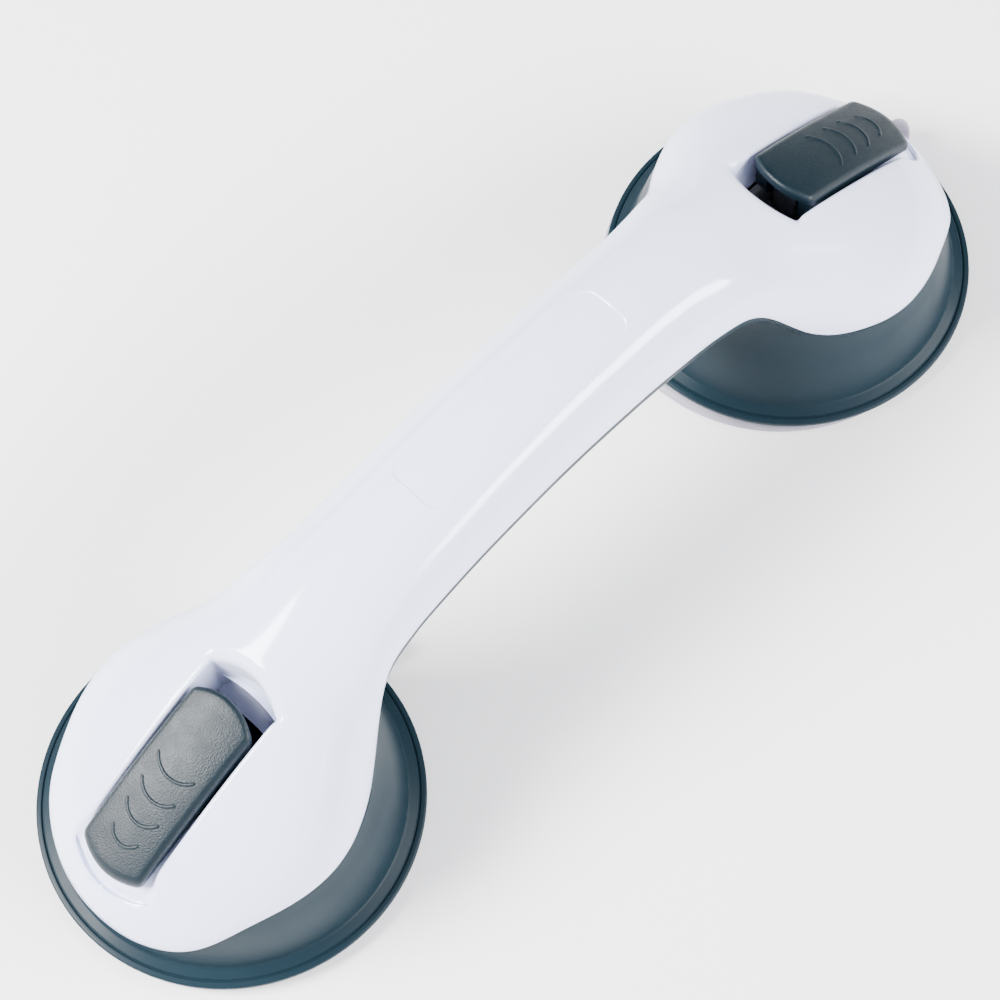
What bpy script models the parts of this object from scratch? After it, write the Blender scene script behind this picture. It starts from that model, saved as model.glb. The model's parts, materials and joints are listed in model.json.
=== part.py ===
"""Suction grab bar: an arched two-shell handle on two lever-locked suction cups.

Metres, +Z up. X runs along the bar, and the origin is on the wall that it holds to, under the middle
of its overall length with the release tabs. The design itself is drawn from the middle of the handle.
Each cup works the same way: a flip lever turns on a pin through the plunger, its cam stands on a
wear plate, and closing it lifts the plunger and the middle of the soft pad while the bell's flange
holds the pad's rim down. The bar is modelled locked, with both levers closed.
"""

import math

import bmesh
import bpy
from mathutils import Matrix, Vector

# Plan of the bar
CUP_X = 0.102                 # each cup's axis, from the middle of the bar
SIDES = {"a": -1, "b": 1}     # cup a stands at -X, cup b at +X
FIT_GAP = 0.0003              # between faces that touch on the real object
WALL = 0.0022                 # moulded wall of both shells

# Arched handle
RIDGE_TOP = 0.077             # top of the handle in the middle
RIDGE_SAG = 2.381             # the ridge drops by this times x squared, in 1/m
WIDEST_TOP = 0.0616           # height of the handle's widest line in the middle
UNDER_TOP = 0.0505            # underside of the handle in the middle
ARCH_SAG = 2.0                # the same for the widest line and the underside
TROUGH_LEAST = 0.006          # least depth of the handle's lower half where it runs into a bell
TROUGH_END = 0.0785

# Hood of the upper shell over each cup, in plan
HOOD_HALF = 0.0386            # half width over the cup's axis
HOOD_END = 0.0438             # from the cup's axis out to the hood's end
HOOD_ROUND = 0.026            # from the cup's axis to where the ridge starts to round down
HOOD_ROUNDNESS = 2.4          # exponent of that rounding

# (distance from the middle of the bar, value) through which the smooth lines run
HALF_WIDTHS = [(0.0, 0.0181), (0.030, 0.0183), (0.054, 0.0190), (0.062, 0.0202), (0.070, 0.0235),
               (0.078, 0.0285), (0.084, 0.0328), (0.090, 0.0360), (CUP_X, HOOD_HALF)]
SEAM_DIP = [(0.060, 0.0544), (0.064, 0.0505), (0.068, 0.0432), (0.072, 0.0372), (0.077, 0.0327),
            (0.085, 0.0306), (0.094, 0.0297), (CUP_X, 0.0286), (0.115, 0.0266), (0.124, 0.0245),
            (0.132, 0.0212), (0.138, 0.0155), (0.142, 0.0112), (CUP_X + HOOD_END, 0.0090)]
SEAM_DIP_START = SEAM_DIP[0][0]

# Bell of the lower shell, turned about the cup's axis
BELL_OUTSIDE = [(0.0480, 0.0029), (0.0480, 0.0041), (0.0475, 0.0047), (0.0453, 0.0052), (0.0450, 0.0058),
                (0.0434, 0.0063), (0.0424, 0.0073), (0.0420, 0.0110), (0.0412, 0.0150), (0.0400, 0.0200),
                (0.0386, 0.0245), (0.0374, 0.0300), (0.0365, 0.0360), (0.0358, 0.0540)]
BELL_INSIDE = [(0.0336, 0.0540), (0.0343, 0.0360), (0.0352, 0.0300), (0.0364, 0.0245), (0.0378, 0.0200),
               (0.0390, 0.0150), (0.0397, 0.0110), (0.0402, 0.0072), (0.0420, 0.0040), (0.0432, 0.0029)]
BELL_ROOM_R = 0.0349          # within the bell's wall, where the handle's lower half stops
DECK_TOP = 0.022
DECK_THICK = 0.0022
DECK_R = 0.0383
BORE_R = 0.0056               # guide bore for the plunger
TOWER_TOP = 0.0347
TOWER_IN = 0.0062             # towards the middle of the bar
TOWER_OUT = 0.0085
TOWER_HALF = 0.0102

# Locking mechanism
PIN_Z = 0.0445                # pivot height when locked
PIN_R = 0.002
PIN_HALF = 0.0093
PIN_CLEAR = 0.00015
PLATE_THICK = 0.001
PLATE_TOP = TOWER_TOP + FIT_GAP + PLATE_THICK
CAM_CLEAR = 0.00025
CAM_HIGH = PIN_Z - PLATE_TOP  # cam radius under the pin when locked
CAM_LOW = 0.0053              # and when the lever stands open
LEVER_SWING = math.radians(90)
EYE_R = 0.0041
EYE_HALF = 0.0048
STEM_R = 0.0053
CHEEK_IN = 0.0052             # the lever's cheeks stand this far from the middle plane
CHEEK_OUT = 0.0088

# Flip lever, seen from above and from the side
LEVER_HALF = 0.0101
LEVER_IN = 0.0054             # corner at the inner end, from the cup's axis
LEVER_OUT = 0.0330            # corner at the outer end
LEVER_NOSE = 0.0031           # how far each rounded end stands past its corners
LEVER_IN_Z = 0.0541
LEVER_OUT_Z = 0.0346
LEVER_BULGE = 0.0012
LEVER_CROWN = 0.0007
LEVER_SKIN = 0.0024

# Well in the upper shell that the lever lies in
WELL_HALF = 0.0110
WELL_IN = 0.0124
WELL_NOSE = 0.0034
WELL_OUT = 0.0375
WELL_WALL = 0.0016
WELL_OPEN_TO = 0.0130         # the well's floor starts here, outwards of the cam
WELL_SKIRT_Z = 0.0385
WELL_FLOOR = [(0.0130, 0.0393), (0.0375, 0.0293)]

# Label panel sunk in the top of the handle
LABEL_HALF_LENGTH = 0.033
LABEL_HALF_WIDTH = 0.0074
LABEL_DEPTH = 0.0004
LABEL_CORNER = 0.003

# Soft parts and spring
PAD_R = 0.0475
DISC_R = 0.0129
DISC_Z = (0.0069, 0.0089)
PAD_BOSS_TOP = 0.0110
SPRING_R = 0.0092
SPRING_WIRE = 0.0013
SPRING_TURNS = 3.5
TAB_HALF = 0.0048
TAB_OUT = 0.0560
TAB_TURN = math.radians(-3.5)  # the pad sits a little turned under its flange

# From the handle's middle to the middle of the overall length, as both tabs point to +X
MIDDLE_X = ((TAB_OUT - TAB_HALF) * math.cos(TAB_TURN) + TAB_HALF - BELL_OUTSIDE[0][0]) / 2

# Screws
SCREW_HEAD_R = 0.0028
SCREW_HEAD = 0.0020
SCREW_R = 0.0014
SCREW_LENGTH = 0.010
PILOT_R = 0.0017
BOSS_R = 0.0034
HANDLE_SCREW_X = 0.036
SCREW_SEAT = 0.002            # material between a handle screw's head and the upper shell's boss
CUP_SCREW_Y = 0.024

# Reach of the cutting tools past what they cut
CUT_PAST = 0.010
ABOVE_ALL = RIDGE_TOP + CUT_PAST
HALF_ROOM = 0.060             # more than half the bar's width

# Fineness
ROUND = 40
BELL_ROUND = 52
WELD = 2e-6                   # points this close are one after a Boolean
SECTION = 16
COLOURS = {
    "white": ((0.86, 0.87, 0.93, 1), 0.22, 0.0),
    "teal": ((0.035, 0.075, 0.095, 1), 0.35, 0.0),
    "soft": ((0.62, 0.60, 0.63, 1), 0.5, 0.0),
    "nylon": ((0.02, 0.02, 0.022, 1), 0.45, 0.0),
    "steel": ((0.60, 0.60, 0.61, 1), 0.3, 1.0),
}


def smooth_line(points):
    """A function that runs smoothly through (x, value) points without overshooting them."""
    xs = [p[0] for p in points]
    ys = [p[1] for p in points]
    steps = [(ys[i + 1] - ys[i]) / (xs[i + 1] - xs[i]) for i in range(len(xs) - 1)]
    slopes = [steps[0]]
    for before, after in zip(steps, steps[1:]):
        slopes.append(0 if before * after <= 0 else 2 * before * after / (before + after))
    slopes.append(steps[-1])

    def value(x):
        i = max(0, min(len(steps) - 1, sum(1 for edge in xs[1:-1] if x > edge)))
        h = xs[i + 1] - xs[i]
        t = min(1, max(0, (x - xs[i]) / h))
        rise = t * t * (3 - 2 * t)
        return (ys[i] + (ys[i + 1] - ys[i]) * rise
                + h * (slopes[i] * t * (1 - t) ** 2 - slopes[i + 1] * t * t * (1 - t)))

    return value


HANDLE_WIDTH = smooth_line(HALF_WIDTHS)
SEAM_DIP_LINE = smooth_line(SEAM_DIP)


def seam_z(x):
    """Height of the parting line between the two shells."""
    x = abs(x)
    return WIDEST_TOP - ARCH_SAG * x * x if x < SEAM_DIP_START else SEAM_DIP_LINE(x)


def half_width(x, inset=0.0):
    """Half width of the bar at the parting line."""
    out = abs(x) - CUP_X
    if out <= 0:
        return HANDLE_WIDTH(abs(x)) - inset
    return (HOOD_HALF - inset) * math.sqrt(max(0, 1 - (out / (HOOD_END - inset)) ** 2))


def ridge_z(x, inset=0.0):
    """Height of the upper shell along the middle of the bar."""
    x = abs(x)
    arch = RIDGE_TOP - RIDGE_SAG * x * x - inset
    past = (x - CUP_X - HOOD_ROUND) / (HOOD_END - HOOD_ROUND - inset)
    if past <= 0:
        return arch
    foot = seam_z(CUP_X + HOOD_END - inset)
    return foot + (arch - foot) * max(0, 1 - past ** HOOD_ROUNDNESS) ** (1 / HOOD_ROUNDNESS)


def under_z(x):
    """Height of the handle's underside along the middle of the bar."""
    return UNDER_TOP - ARCH_SAG * x * x


def stations(inset=0.0):
    """Places along the bar, closer together where its outline turns quickly."""
    handle = [i * 0.011 for i in range(5)]
    neck = [0.054 + i * 0.0045 for i in range(10)]
    steps = 10
    hood = [CUP_X + (HOOD_END - inset) * math.sin(math.pi / 2 * i / steps) for i in range(steps + 1)]
    right = handle + neck + hood
    return [-x for x in reversed(right[1:])] + right


def new_object(name, bm, finish):
    """Turns a bmesh into a named object with its finish, and frees the bmesh."""
    mesh = bpy.data.meshes.new(name)
    bm.to_mesh(mesh)
    bm.free()
    made = bpy.data.objects.new(name, mesh)
    bpy.context.scene.collection.objects.link(made)
    mesh.materials.append(material(finish))
    return made


def material(finish):
    """One of the object's finishes."""
    found = bpy.data.materials.get(finish)
    if found:
        return found
    colour, roughness, metallic = COLOURS[finish]
    made = bpy.data.materials.new(finish)
    made.use_nodes = True
    shader = made.node_tree.nodes["Principled BSDF"]
    shader.inputs["Base Color"].default_value = colour
    shader.inputs["Roughness"].default_value = roughness
    shader.inputs["Metallic"].default_value = metallic
    made.diffuse_color = colour
    return made


def combine(target, tool, operation):
    """Joins, cuts or intersects target with tool, and removes the tool."""
    step = target.modifiers.new(operation, "BOOLEAN")
    step.operation = operation
    step.object = tool
    bpy.context.view_layer.update()
    evaluated = target.evaluated_get(bpy.context.evaluated_depsgraph_get())
    mesh = bpy.data.meshes.new_from_object(evaluated)
    target.modifiers.clear()
    target.data = mesh
    bpy.data.objects.remove(tool)
    bm = bmesh.new()
    bm.from_mesh(mesh)
    bmesh.ops.triangulate(bm, faces=bm.faces)
    bmesh.ops.remove_doubles(bm, verts=bm.verts, dist=WELD)
    bmesh.ops.dissolve_degenerate(bm, edges=bm.edges, dist=WELD)
    bm.to_mesh(mesh)
    bm.free()
    return target


def closed_mesh(bm):
    """Merges doubled vertices and points every face outwards."""
    bmesh.ops.remove_doubles(bm, verts=bm.verts, dist=1e-6)
    bmesh.ops.recalc_face_normals(bm, faces=bm.faces)


def skin_between(name, outer, inner, finish):
    """A closed shell between two grids of points, joined along their two long edges and both ends."""
    bm = bmesh.new()
    grids = [[[bm.verts.new(p) for p in row] for row in grid] for grid in (outer, inner)]
    for grid in grids:
        for one, two in zip(grid, grid[1:]):
            for i in range(len(one) - 1):
                bm.faces.new((one[i], one[i + 1], two[i + 1], two[i]))
    out, within = grids
    for edge in (0, -1):
        for i in range(len(out) - 1):
            bm.faces.new((out[i][edge], out[i + 1][edge], within[i + 1][edge], within[i][edge]))
    for row in (0, -1):
        for i in range(len(out[0]) - 1):
            bm.faces.new((out[row][i], out[row][i + 1], within[row][i + 1], within[row][i]))
    closed_mesh(bm)
    return new_object(name, bm, finish)


def extruded(name, outline, low, high, axis, finish):
    """A prism: outline's points are (x, y) for axis Z and (x, z) for axis Y."""
    bm = bmesh.new()

    def place(point, along):
        a, b = point
        return (a, b, along) if axis == "Z" else (a, along, b)

    bottom = [bm.verts.new(place(p, low)) for p in outline]
    top = [bm.verts.new(place(p, high)) for p in outline]
    bm.faces.new(bottom)
    bm.faces.new(top)
    for i in range(len(outline)):
        j = (i + 1) % len(outline)
        bm.faces.new((bottom[i], bottom[j], top[j], top[i]))
    closed_mesh(bm)
    return new_object(name, bm, finish)


def turned(name, profile, finish, centre=(0, 0), segments=ROUND):
    """A round solid: the closed profile of (radius, z) points turned about Z."""
    bm = bmesh.new()
    rings = []
    for i in range(segments):
        angle = 2 * math.pi * i / segments
        rings.append([bm.verts.new((centre[0] + r * math.cos(angle), centre[1] + r * math.sin(angle), z))
                      for r, z in profile])
    for ring, after in zip(rings, rings[1:] + rings[:1]):
        for k in range(len(profile)):
            m = (k + 1) % len(profile)
            if profile[k][0] > 0 or profile[m][0] > 0:
                bm.faces.new((ring[k], after[k], after[m], ring[m]))
    bmesh.ops.remove_doubles(bm, verts=bm.verts, dist=1e-7)
    bmesh.ops.dissolve_degenerate(bm, edges=bm.edges, dist=1e-7)
    closed_mesh(bm)
    return new_object(name, bm, finish)


def round_bar(name, radius, low, high, finish, centre=(0, 0), segments=24):
    """A plain upright cylinder."""
    return turned(name, [(0, low), (radius, low), (radius, high), (0, high)], finish, centre, segments)


def cross_bar(name, radius, half, x, z, finish, segments=20):
    """A plain cylinder along Y."""
    outline = [(x + radius * math.cos(2 * math.pi * i / segments),
                z + radius * math.sin(2 * math.pi * i / segments)) for i in range(segments)]
    return extruded(name, outline, -half, half, "Y", finish)


def arch_section(x, inset):
    """Half loop of points across the upper shell at one station, from one seam over the ridge to the other."""
    wide, low, high = half_width(x, inset), seam_z(x), ridge_z(x, inset)
    return [Vector((x, -wide * math.cos(math.pi * i / SECTION), low + (high - low) * math.sin(math.pi * i / SECTION)))
            for i in range(SECTION + 1)]


def form_solid(inset):
    """The space under the upper shell's surface, set in by inset and closed far below the seam."""
    bm = bmesh.new()
    rows = []
    for x in stations(inset)[1:-1]:
        row = arch_section(x, inset)
        floor = [Vector((x, row[-1].y, -CUT_PAST)), Vector((x, row[0].y, -CUT_PAST))]
        rows.append([bm.verts.new(p) for p in row + floor])
    for one, two in zip(rows, rows[1:]):
        for i in range(len(one)):
            j = (i + 1) % len(one)
            bm.faces.new((one[i], one[j], two[j], two[i]))
    bm.faces.new(rows[0])
    bm.faces.new(rows[-1])
    closed_mesh(bm)
    return new_object("form", bm, "white")


def nosed_outline(side, inner, outer, nose_in, nose_out, half, steps=8):
    """Plan of a lever or its well: two straight sides and two rounded ends, for the cup on that side."""
    ends = []
    for corner, nose, turn in ((-inner, -nose_in, 1), (outer, nose_out, -1)):
        for i in range(steps + 1):
            across = turn * (2 * i / steps - 1)
            ends.append((side * (CUP_X + corner + nose * (1 - across * across)), across * half))
    return ends


def make_upper_shell():
    """White top shell: the hoods, the arch between them, the lever wells and the screw bosses."""
    outer = [arch_section(x, 0) for x in stations()]
    inner = [arch_section(x, WALL) for x in stations(WALL)]
    shell = skin_between("upper_shell", outer, inner, "white")
    inside = None
    for side in SIDES.values():
        for half, x in ((CUP_SCREW_Y, CUP_X), (-CUP_SCREW_Y, CUP_X), (0, HANDLE_SCREW_X)):
            foot = DECK_TOP + FIT_GAP if half else handle_boss_top() + FIT_GAP
            boss = round_bar("boss", BOSS_R, foot, RIDGE_TOP, "white", (side * x, half), 16)
            inside = boss if inside is None else combine(inside, boss, "UNION")
        inside = combine(inside, well_tub(side), "UNION")
    inside = combine(inside, form_solid(WALL / 2), "INTERSECT")
    shell = combine(shell, inside, "UNION")
    for side in SIDES.values():
        shell = combine(shell, well_space(side), "DIFFERENCE")
        shell = combine(shell, cam_window(side), "DIFFERENCE")
        for half, x in ((CUP_SCREW_Y, CUP_X), (-CUP_SCREW_Y, CUP_X), (0, HANDLE_SCREW_X)):
            foot = DECK_TOP if half else handle_boss_top()
            hole = round_bar("pilot", PILOT_R, foot, foot + SCREW_LENGTH + 0.001, "white", (side * x, half), 12)
            shell = combine(shell, hole, "DIFFERENCE")
    return combine(shell, label_cutter(), "DIFFERENCE")


def well_tub(side):
    """Walls and floor around the lever, running up past the shell's surface."""
    grow = WELL_WALL
    floor_in, floor_out = WELL_FLOOR
    outline = [(side * (CUP_X + u), z) for u, z in (
        (-WELL_IN - WELL_NOSE - grow, RIDGE_TOP), (-WELL_IN - WELL_NOSE - grow, WELL_SKIRT_Z - 0.002),
        (floor_in[0] - grow, WELL_SKIRT_Z - 0.002), (floor_in[0], floor_in[1] - grow),
        (floor_out[0] + grow, floor_out[1] - 1.4 * grow), (floor_out[0] + grow, RIDGE_TOP))]
    return extruded("tub", outline, -WELL_HALF - grow, WELL_HALF + grow, "Y", "white")


def well_space(side):
    """The room that the lever lies in, down to the well's floor."""
    plan = nosed_outline(side, WELL_IN, WELL_OUT - WELL_NOSE, WELL_NOSE, WELL_NOSE, WELL_HALF)
    space = extruded("space", plan, 0, ABOVE_ALL, "Z", "white")
    floor_in, floor_out = WELL_FLOOR
    profile = [(side * (CUP_X + u), z) for u, z in (
        (-WELL_OUT, ABOVE_ALL), (-WELL_OUT, floor_in[1]), floor_in, floor_out,
        (floor_out[0] + CUT_PAST, floor_out[1] - CUT_PAST / 2), (floor_out[0] + CUT_PAST, ABOVE_ALL))]
    above = extruded("above", profile, -HALF_ROOM / 2, HALF_ROOM / 2, "Y", "white")
    return combine(space, above, "INTERSECT")


def cam_window(side):
    """Opens the well's floor where the cam and the plunger come through."""
    plan = nosed_outline(side, WELL_IN, WELL_OPEN_TO, WELL_NOSE, 0, WELL_HALF)
    return extruded("window", plan, WELL_SKIRT_Z - CUT_PAST, WELL_SKIRT_Z + CUT_PAST, "Z", "white")


def rounded_rectangle(half_x, half_y, corner, steps=6):
    """Plan outline of a rectangle with round corners."""
    points = []
    for quarter in range(4):
        turn = math.pi / 2 * quarter
        centre_x = (half_x - corner) * (1 if quarter in (0, 3) else -1)
        centre_y = (half_y - corner) * (1 if quarter in (0, 1) else -1)
        for i in range(steps + 1):
            angle = turn + math.pi / 2 * i / steps
            points.append((centre_x + corner * math.cos(angle), centre_y + corner * math.sin(angle)))
    return points


def label_cutter():
    """What is taken off the ridge for the label panel: all that stands above a surface just under the skin."""
    panel = extruded("panel", rounded_rectangle(LABEL_HALF_LENGTH, LABEL_HALF_WIDTH, LABEL_CORNER),
                     UNDER_TOP, ABOVE_ALL, "Z", "white")
    return combine(panel, form_solid(LABEL_DEPTH), "DIFFERENCE")


def seam_cutter():
    """Everything above the parting line, less the gap between the shells."""
    line = [(x, seam_z(x) - FIT_GAP) for x in stations()]
    end = line[-1][0] + CUT_PAST
    outline = [(-end, line[0][1])] + line + [(end, line[-1][1]), (end, ABOVE_ALL), (-end, ABOVE_ALL)]
    return extruded("above_seam", outline, -HALF_ROOM, HALF_ROOM, "Y", "teal")


def handle_boss_top():
    """Height where the handle's two screw bosses meet."""
    return under_z(HANDLE_SCREW_X) + 0.0085


def trough_section(x, inset):
    """Half loop of points across the handle's lower half at one station."""
    wide, high = half_width(x, inset), seam_z(x)
    low = min(under_z(x), high - TROUGH_LEAST) + inset
    return [Vector((x, -wide * math.cos(math.pi * i / SECTION),
                    high - (high - low) * math.sin(math.pi * i / SECTION) ** 0.75)) for i in range(SECTION + 1)]


def make_lower_shell():
    """Dark lower shell: the handle's underside, the two bells with their flanges, decks and cam towers."""
    places = [x for x in stations() if abs(x) < TROUGH_END]
    shell = skin_between("lower_shell", [trough_section(x, 0) for x in places],
                         [trough_section(x, WALL) for x in places], "teal")
    for side in SIDES.values():
        centre = (side * CUP_X, 0)
        shell = combine(shell, round_bar("room", BELL_ROOM_R, 0, ABOVE_ALL, "teal", centre, BELL_ROUND), "DIFFERENCE")
        wall = turned("wall", BELL_OUTSIDE + BELL_INSIDE, "teal", centre, BELL_ROUND)
        shell = combine(shell, wall, "UNION")
    shell = combine(shell, seam_cutter(), "DIFFERENCE")
    for side in SIDES.values():
        centre = (side * CUP_X, 0)
        deck = round_bar("deck", DECK_R, DECK_TOP - DECK_THICK, DECK_TOP, "teal", centre, BELL_ROUND)
        tower = [(side * (CUP_X + u), y) for u, y in ((-TOWER_IN, -TOWER_HALF), (TOWER_OUT, -TOWER_HALF),
                                                      (TOWER_OUT, TOWER_HALF), (-TOWER_IN, TOWER_HALF))]
        tower = extruded("tower", tower, DECK_TOP - DECK_THICK / 2, TOWER_TOP, "Z", "teal")
        deck = combine(deck, tower, "UNION")
        bore = round_bar("bore", BORE_R, DECK_TOP - CUT_PAST, TOWER_TOP + CUT_PAST, "teal", centre, 32)
        deck = combine(deck, bore, "DIFFERENCE")
        for y in (CUP_SCREW_Y, -CUP_SCREW_Y):
            hole = round_bar("hole", PILOT_R, DECK_TOP - CUT_PAST, DECK_TOP + CUT_PAST, "teal", (centre[0], y), 12)
            deck = combine(deck, hole, "DIFFERENCE")
        shell = combine(shell, deck, "UNION")
        place = (side * HANDLE_SCREW_X, 0)
        foot = under_z(HANDLE_SCREW_X)
        boss = round_bar("boss", SCREW_HEAD_R + 0.0021, foot + WALL / 2, handle_boss_top(), "teal", place, 20)
        shell = combine(shell, boss, "UNION")
        seat = handle_boss_top() - SCREW_SEAT
        sink = round_bar("sink", SCREW_HEAD_R + 0.0006, foot - CUT_PAST, seat, "teal", place, 20)
        shell = combine(shell, sink, "DIFFERENCE")
        hole = round_bar("hole", PILOT_R, foot, seat + CUT_PAST, "teal", place, 12)
        shell = combine(shell, hole, "DIFFERENCE")
    return shell


def lever_top(u):
    """Height of the lever's top over its middle line, at u outwards from the cup's axis."""
    share = (u + LEVER_IN) / (LEVER_OUT + LEVER_IN)
    chord = LEVER_IN_Z + (LEVER_OUT_Z - LEVER_IN_Z) * share
    return chord + 4 * LEVER_BULGE * share * (1 - share) + LEVER_CROWN


def make_lever(name, side):
    """Flip lever: a curved cover, two cheeks with their cams, and a skirt along each side."""
    along, across = 14, 8
    rows_top, rows_low = [], []
    for j in range(across + 1):
        t = 2 * j / across - 1
        nose = LEVER_NOSE * (1 - t * t)
        top_row, low_row = [], []
        for i in range(along + 1):
            u = -LEVER_IN - nose + (LEVER_IN + LEVER_OUT + 2 * nose) * i / along
            z = lever_top(u) - LEVER_CROWN * t * t
            top_row.append(Vector((side * (CUP_X + u), t * LEVER_HALF, z)))
            low_row.append(Vector((side * (CUP_X + u), t * LEVER_HALF, z - LEVER_SKIN)))
        rows_top.append(top_row)
        rows_low.append(low_row)
    lever = skin_between(name, rows_top, rows_low, "teal")
    for hand in (-1, 1):
        cheek = [(side * (CUP_X + u), z) for u, z in cheek_profile()]
        cheek = extruded("cheek", cheek, min(hand * CHEEK_IN, hand * CHEEK_OUT),
                         max(hand * CHEEK_IN, hand * CHEEK_OUT), "Y", "teal")
        lever = combine(lever, cheek, "UNION")
        skirt = [(side * (CUP_X + u), z) for u, z in skirt_profile()]
        low, high = sorted((hand * (CHEEK_OUT - 0.0006), hand * (LEVER_HALF - 0.0002)))
        lever = combine(lever, extruded("skirt", skirt, low, high, "Y", "teal"), "UNION")
    hole = cross_bar("hole", PIN_R + PIN_CLEAR, HALF_ROOM, side * CUP_X, PIN_Z, "teal")
    return combine(lever, hole, "DIFFERENCE")


def cheek_profile():
    """Side outline of a cheek: an involute cam, so that the plunger sinks in step with the lever's turn."""
    rate = (CAM_LOW - CAM_HIGH) / LEVER_SWING
    points = []
    for i in range(13):
        turn = LEVER_SWING * i / 12
        reach = CAM_HIGH + rate * turn - CAM_CLEAR
        points.append((-reach * math.sin(turn) - rate * math.cos(turn),
                       PIN_Z - reach * math.cos(turn) + rate * math.sin(turn)))
    inner = -points[-1][0]
    points.append((-inner, lever_top(-inner) - LEVER_SKIN * 0.6))
    for u in (0.0, 0.006, 0.0115):
        points.append((u, lever_top(u) - LEVER_SKIN * 0.6))
    points.append((0.0088, PIN_Z - 0.0035))
    points.append((0.0058, PIN_Z - CAM_HIGH + 0.0022))
    return points


def skirt_profile():
    """Side outline of a skirt, deep by the pin and shallow at the lifting end."""
    top = [(u, lever_top(u) - LEVER_CROWN - LEVER_SKIN * 0.5) for u in (-0.0048, 0.0, 0.008, 0.016, 0.024, 0.0325)]
    low = [(0.0325, lever_top(0.0325) - 0.0034), (0.012, lever_top(0.012) - 0.0058), (-0.0048, PIN_Z + 0.0012)]
    return top + low


def make_pin(name, side):
    """Steel pivot pin through the lever's cheeks and the plunger's eye."""
    return cross_bar(name, PIN_R, PIN_HALF, side * CUP_X, PIN_Z, "steel")


def make_plunger(name, side):
    """Plunger: a disc held in the pad, a round stem, and a flat-sided eye for the pin."""
    low, high = DISC_Z
    x = side * CUP_X
    neck = PIN_Z - 0.0095
    profile = [(0, low), (DISC_R, low), (DISC_R, high), (STEM_R, high), (STEM_R, neck), (0, neck)]
    plunger = turned(name, profile, "nylon", (x, 0), 32)
    outline = [(x - EYE_R, neck - 0.002), (x + EYE_R, neck - 0.002)]
    outline += [(x + EYE_R * math.cos(math.pi * i / 10), PIN_Z + EYE_R * math.sin(math.pi * i / 10))
                for i in range(11)]
    eye = extruded("eye", outline, -EYE_HALF, EYE_HALF, "Y", "nylon")
    eye = combine(eye, round_bar("stem", STEM_R - 0.00005, 0, ABOVE_ALL, "nylon", (x, 0), 32), "INTERSECT")
    plunger = combine(plunger, eye, "UNION")
    return combine(plunger, cross_bar("hole", PIN_R + PIN_CLEAR, HALF_ROOM, x, PIN_Z, "nylon"), "DIFFERENCE")


def make_wear_plate(name, side):
    """Steel plate on the tower that the cams stand on."""
    x = side * CUP_X
    outline = [(x + side * u, y) for u, y in ((-TOWER_IN, -TOWER_HALF), (TOWER_OUT, -TOWER_HALF),
                                              (TOWER_OUT, TOWER_HALF), (-TOWER_IN, TOWER_HALF))]
    plate = extruded(name, outline, TOWER_TOP + FIT_GAP, TOWER_TOP + FIT_GAP + PLATE_THICK, "Z", "steel")
    return combine(plate, round_bar("hole", BORE_R, DECK_TOP, PIN_Z, "steel", (x, 0), 32), "DIFFERENCE")


def make_pad(name, side):
    """Soft suction pad, drawn up in the middle, with the plunger's disc moulded in and a release tab."""
    low, high = DISC_Z
    gap = FIT_GAP
    profile = [(0, 0.0050), (0.012, 0.0048), (0.020, 0.0040), (0.028, 0.0022), (0.034, 0.0007), (0.039, 0),
               (PAD_R, 0), (PAD_R, 0.0009), (0.0465, 0.0020), (0.0430, 0.0024), (0.0385, 0.0028),
               (0.034, 0.0037), (0.028, 0.0052), (0.020, 0.0071), (0.0165, 0.0084), (0.0155, PAD_BOSS_TOP),
               (STEM_R + gap, PAD_BOSS_TOP), (STEM_R + gap, high + gap), (DISC_R + gap, high + gap),
               (DISC_R + gap, low - gap), (0, low - gap)]
    x = side * CUP_X
    pad = turned(name, profile, "soft", (x, 0), ROUND)
    reach = TAB_OUT - TAB_HALF
    outline = [(0.044, -TAB_HALF), (reach, -TAB_HALF)]
    outline += [(reach + TAB_HALF * math.sin(math.pi * i / 10), -TAB_HALF * math.cos(math.pi * i / 10))
                for i in range(1, 10)]
    outline += [(reach, TAB_HALF), (0.044, TAB_HALF)]
    turn = Matrix.Rotation(-TAB_TURN, 2)
    outline = [tuple(turn @ Vector(p) + Vector((x, 0))) for p in outline]
    return combine(pad, extruded("tab", outline, 0.0002, 0.0019, "Z", "soft"), "UNION")


def make_spring(name, side):
    """Return spring between the deck and the pad's boss, a round wire wound about the plunger."""
    low = PAD_BOSS_TOP + FIT_GAP + SPRING_WIRE / 2
    high = DECK_TOP - DECK_THICK - FIT_GAP - SPRING_WIRE / 2
    steps, ring_points = int(SPRING_TURNS * 16), 6
    bm = bmesh.new()
    rings = []
    for i in range(steps + 1):
        angle = 2 * math.pi * SPRING_TURNS * i / steps
        out = Vector((math.cos(angle), math.sin(angle), 0))
        middle = Vector((side * CUP_X, 0, low + (high - low) * i / steps)) + SPRING_R * out
        rings.append([bm.verts.new(middle + SPRING_WIRE / 2 * (out * math.cos(a) + Vector((0, 0, 1)) * math.sin(a)))
                      for a in (2 * math.pi * k / ring_points for k in range(ring_points))])
    for one, two in zip(rings, rings[1:]):
        for k in range(ring_points):
            m = (k + 1) % ring_points
            bm.faces.new((one[k], one[m], two[m], two[k]))
    bm.faces.new(rings[0])
    bm.faces.new(rings[-1])
    closed_mesh(bm)
    return new_object(name, bm, "steel")


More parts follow.
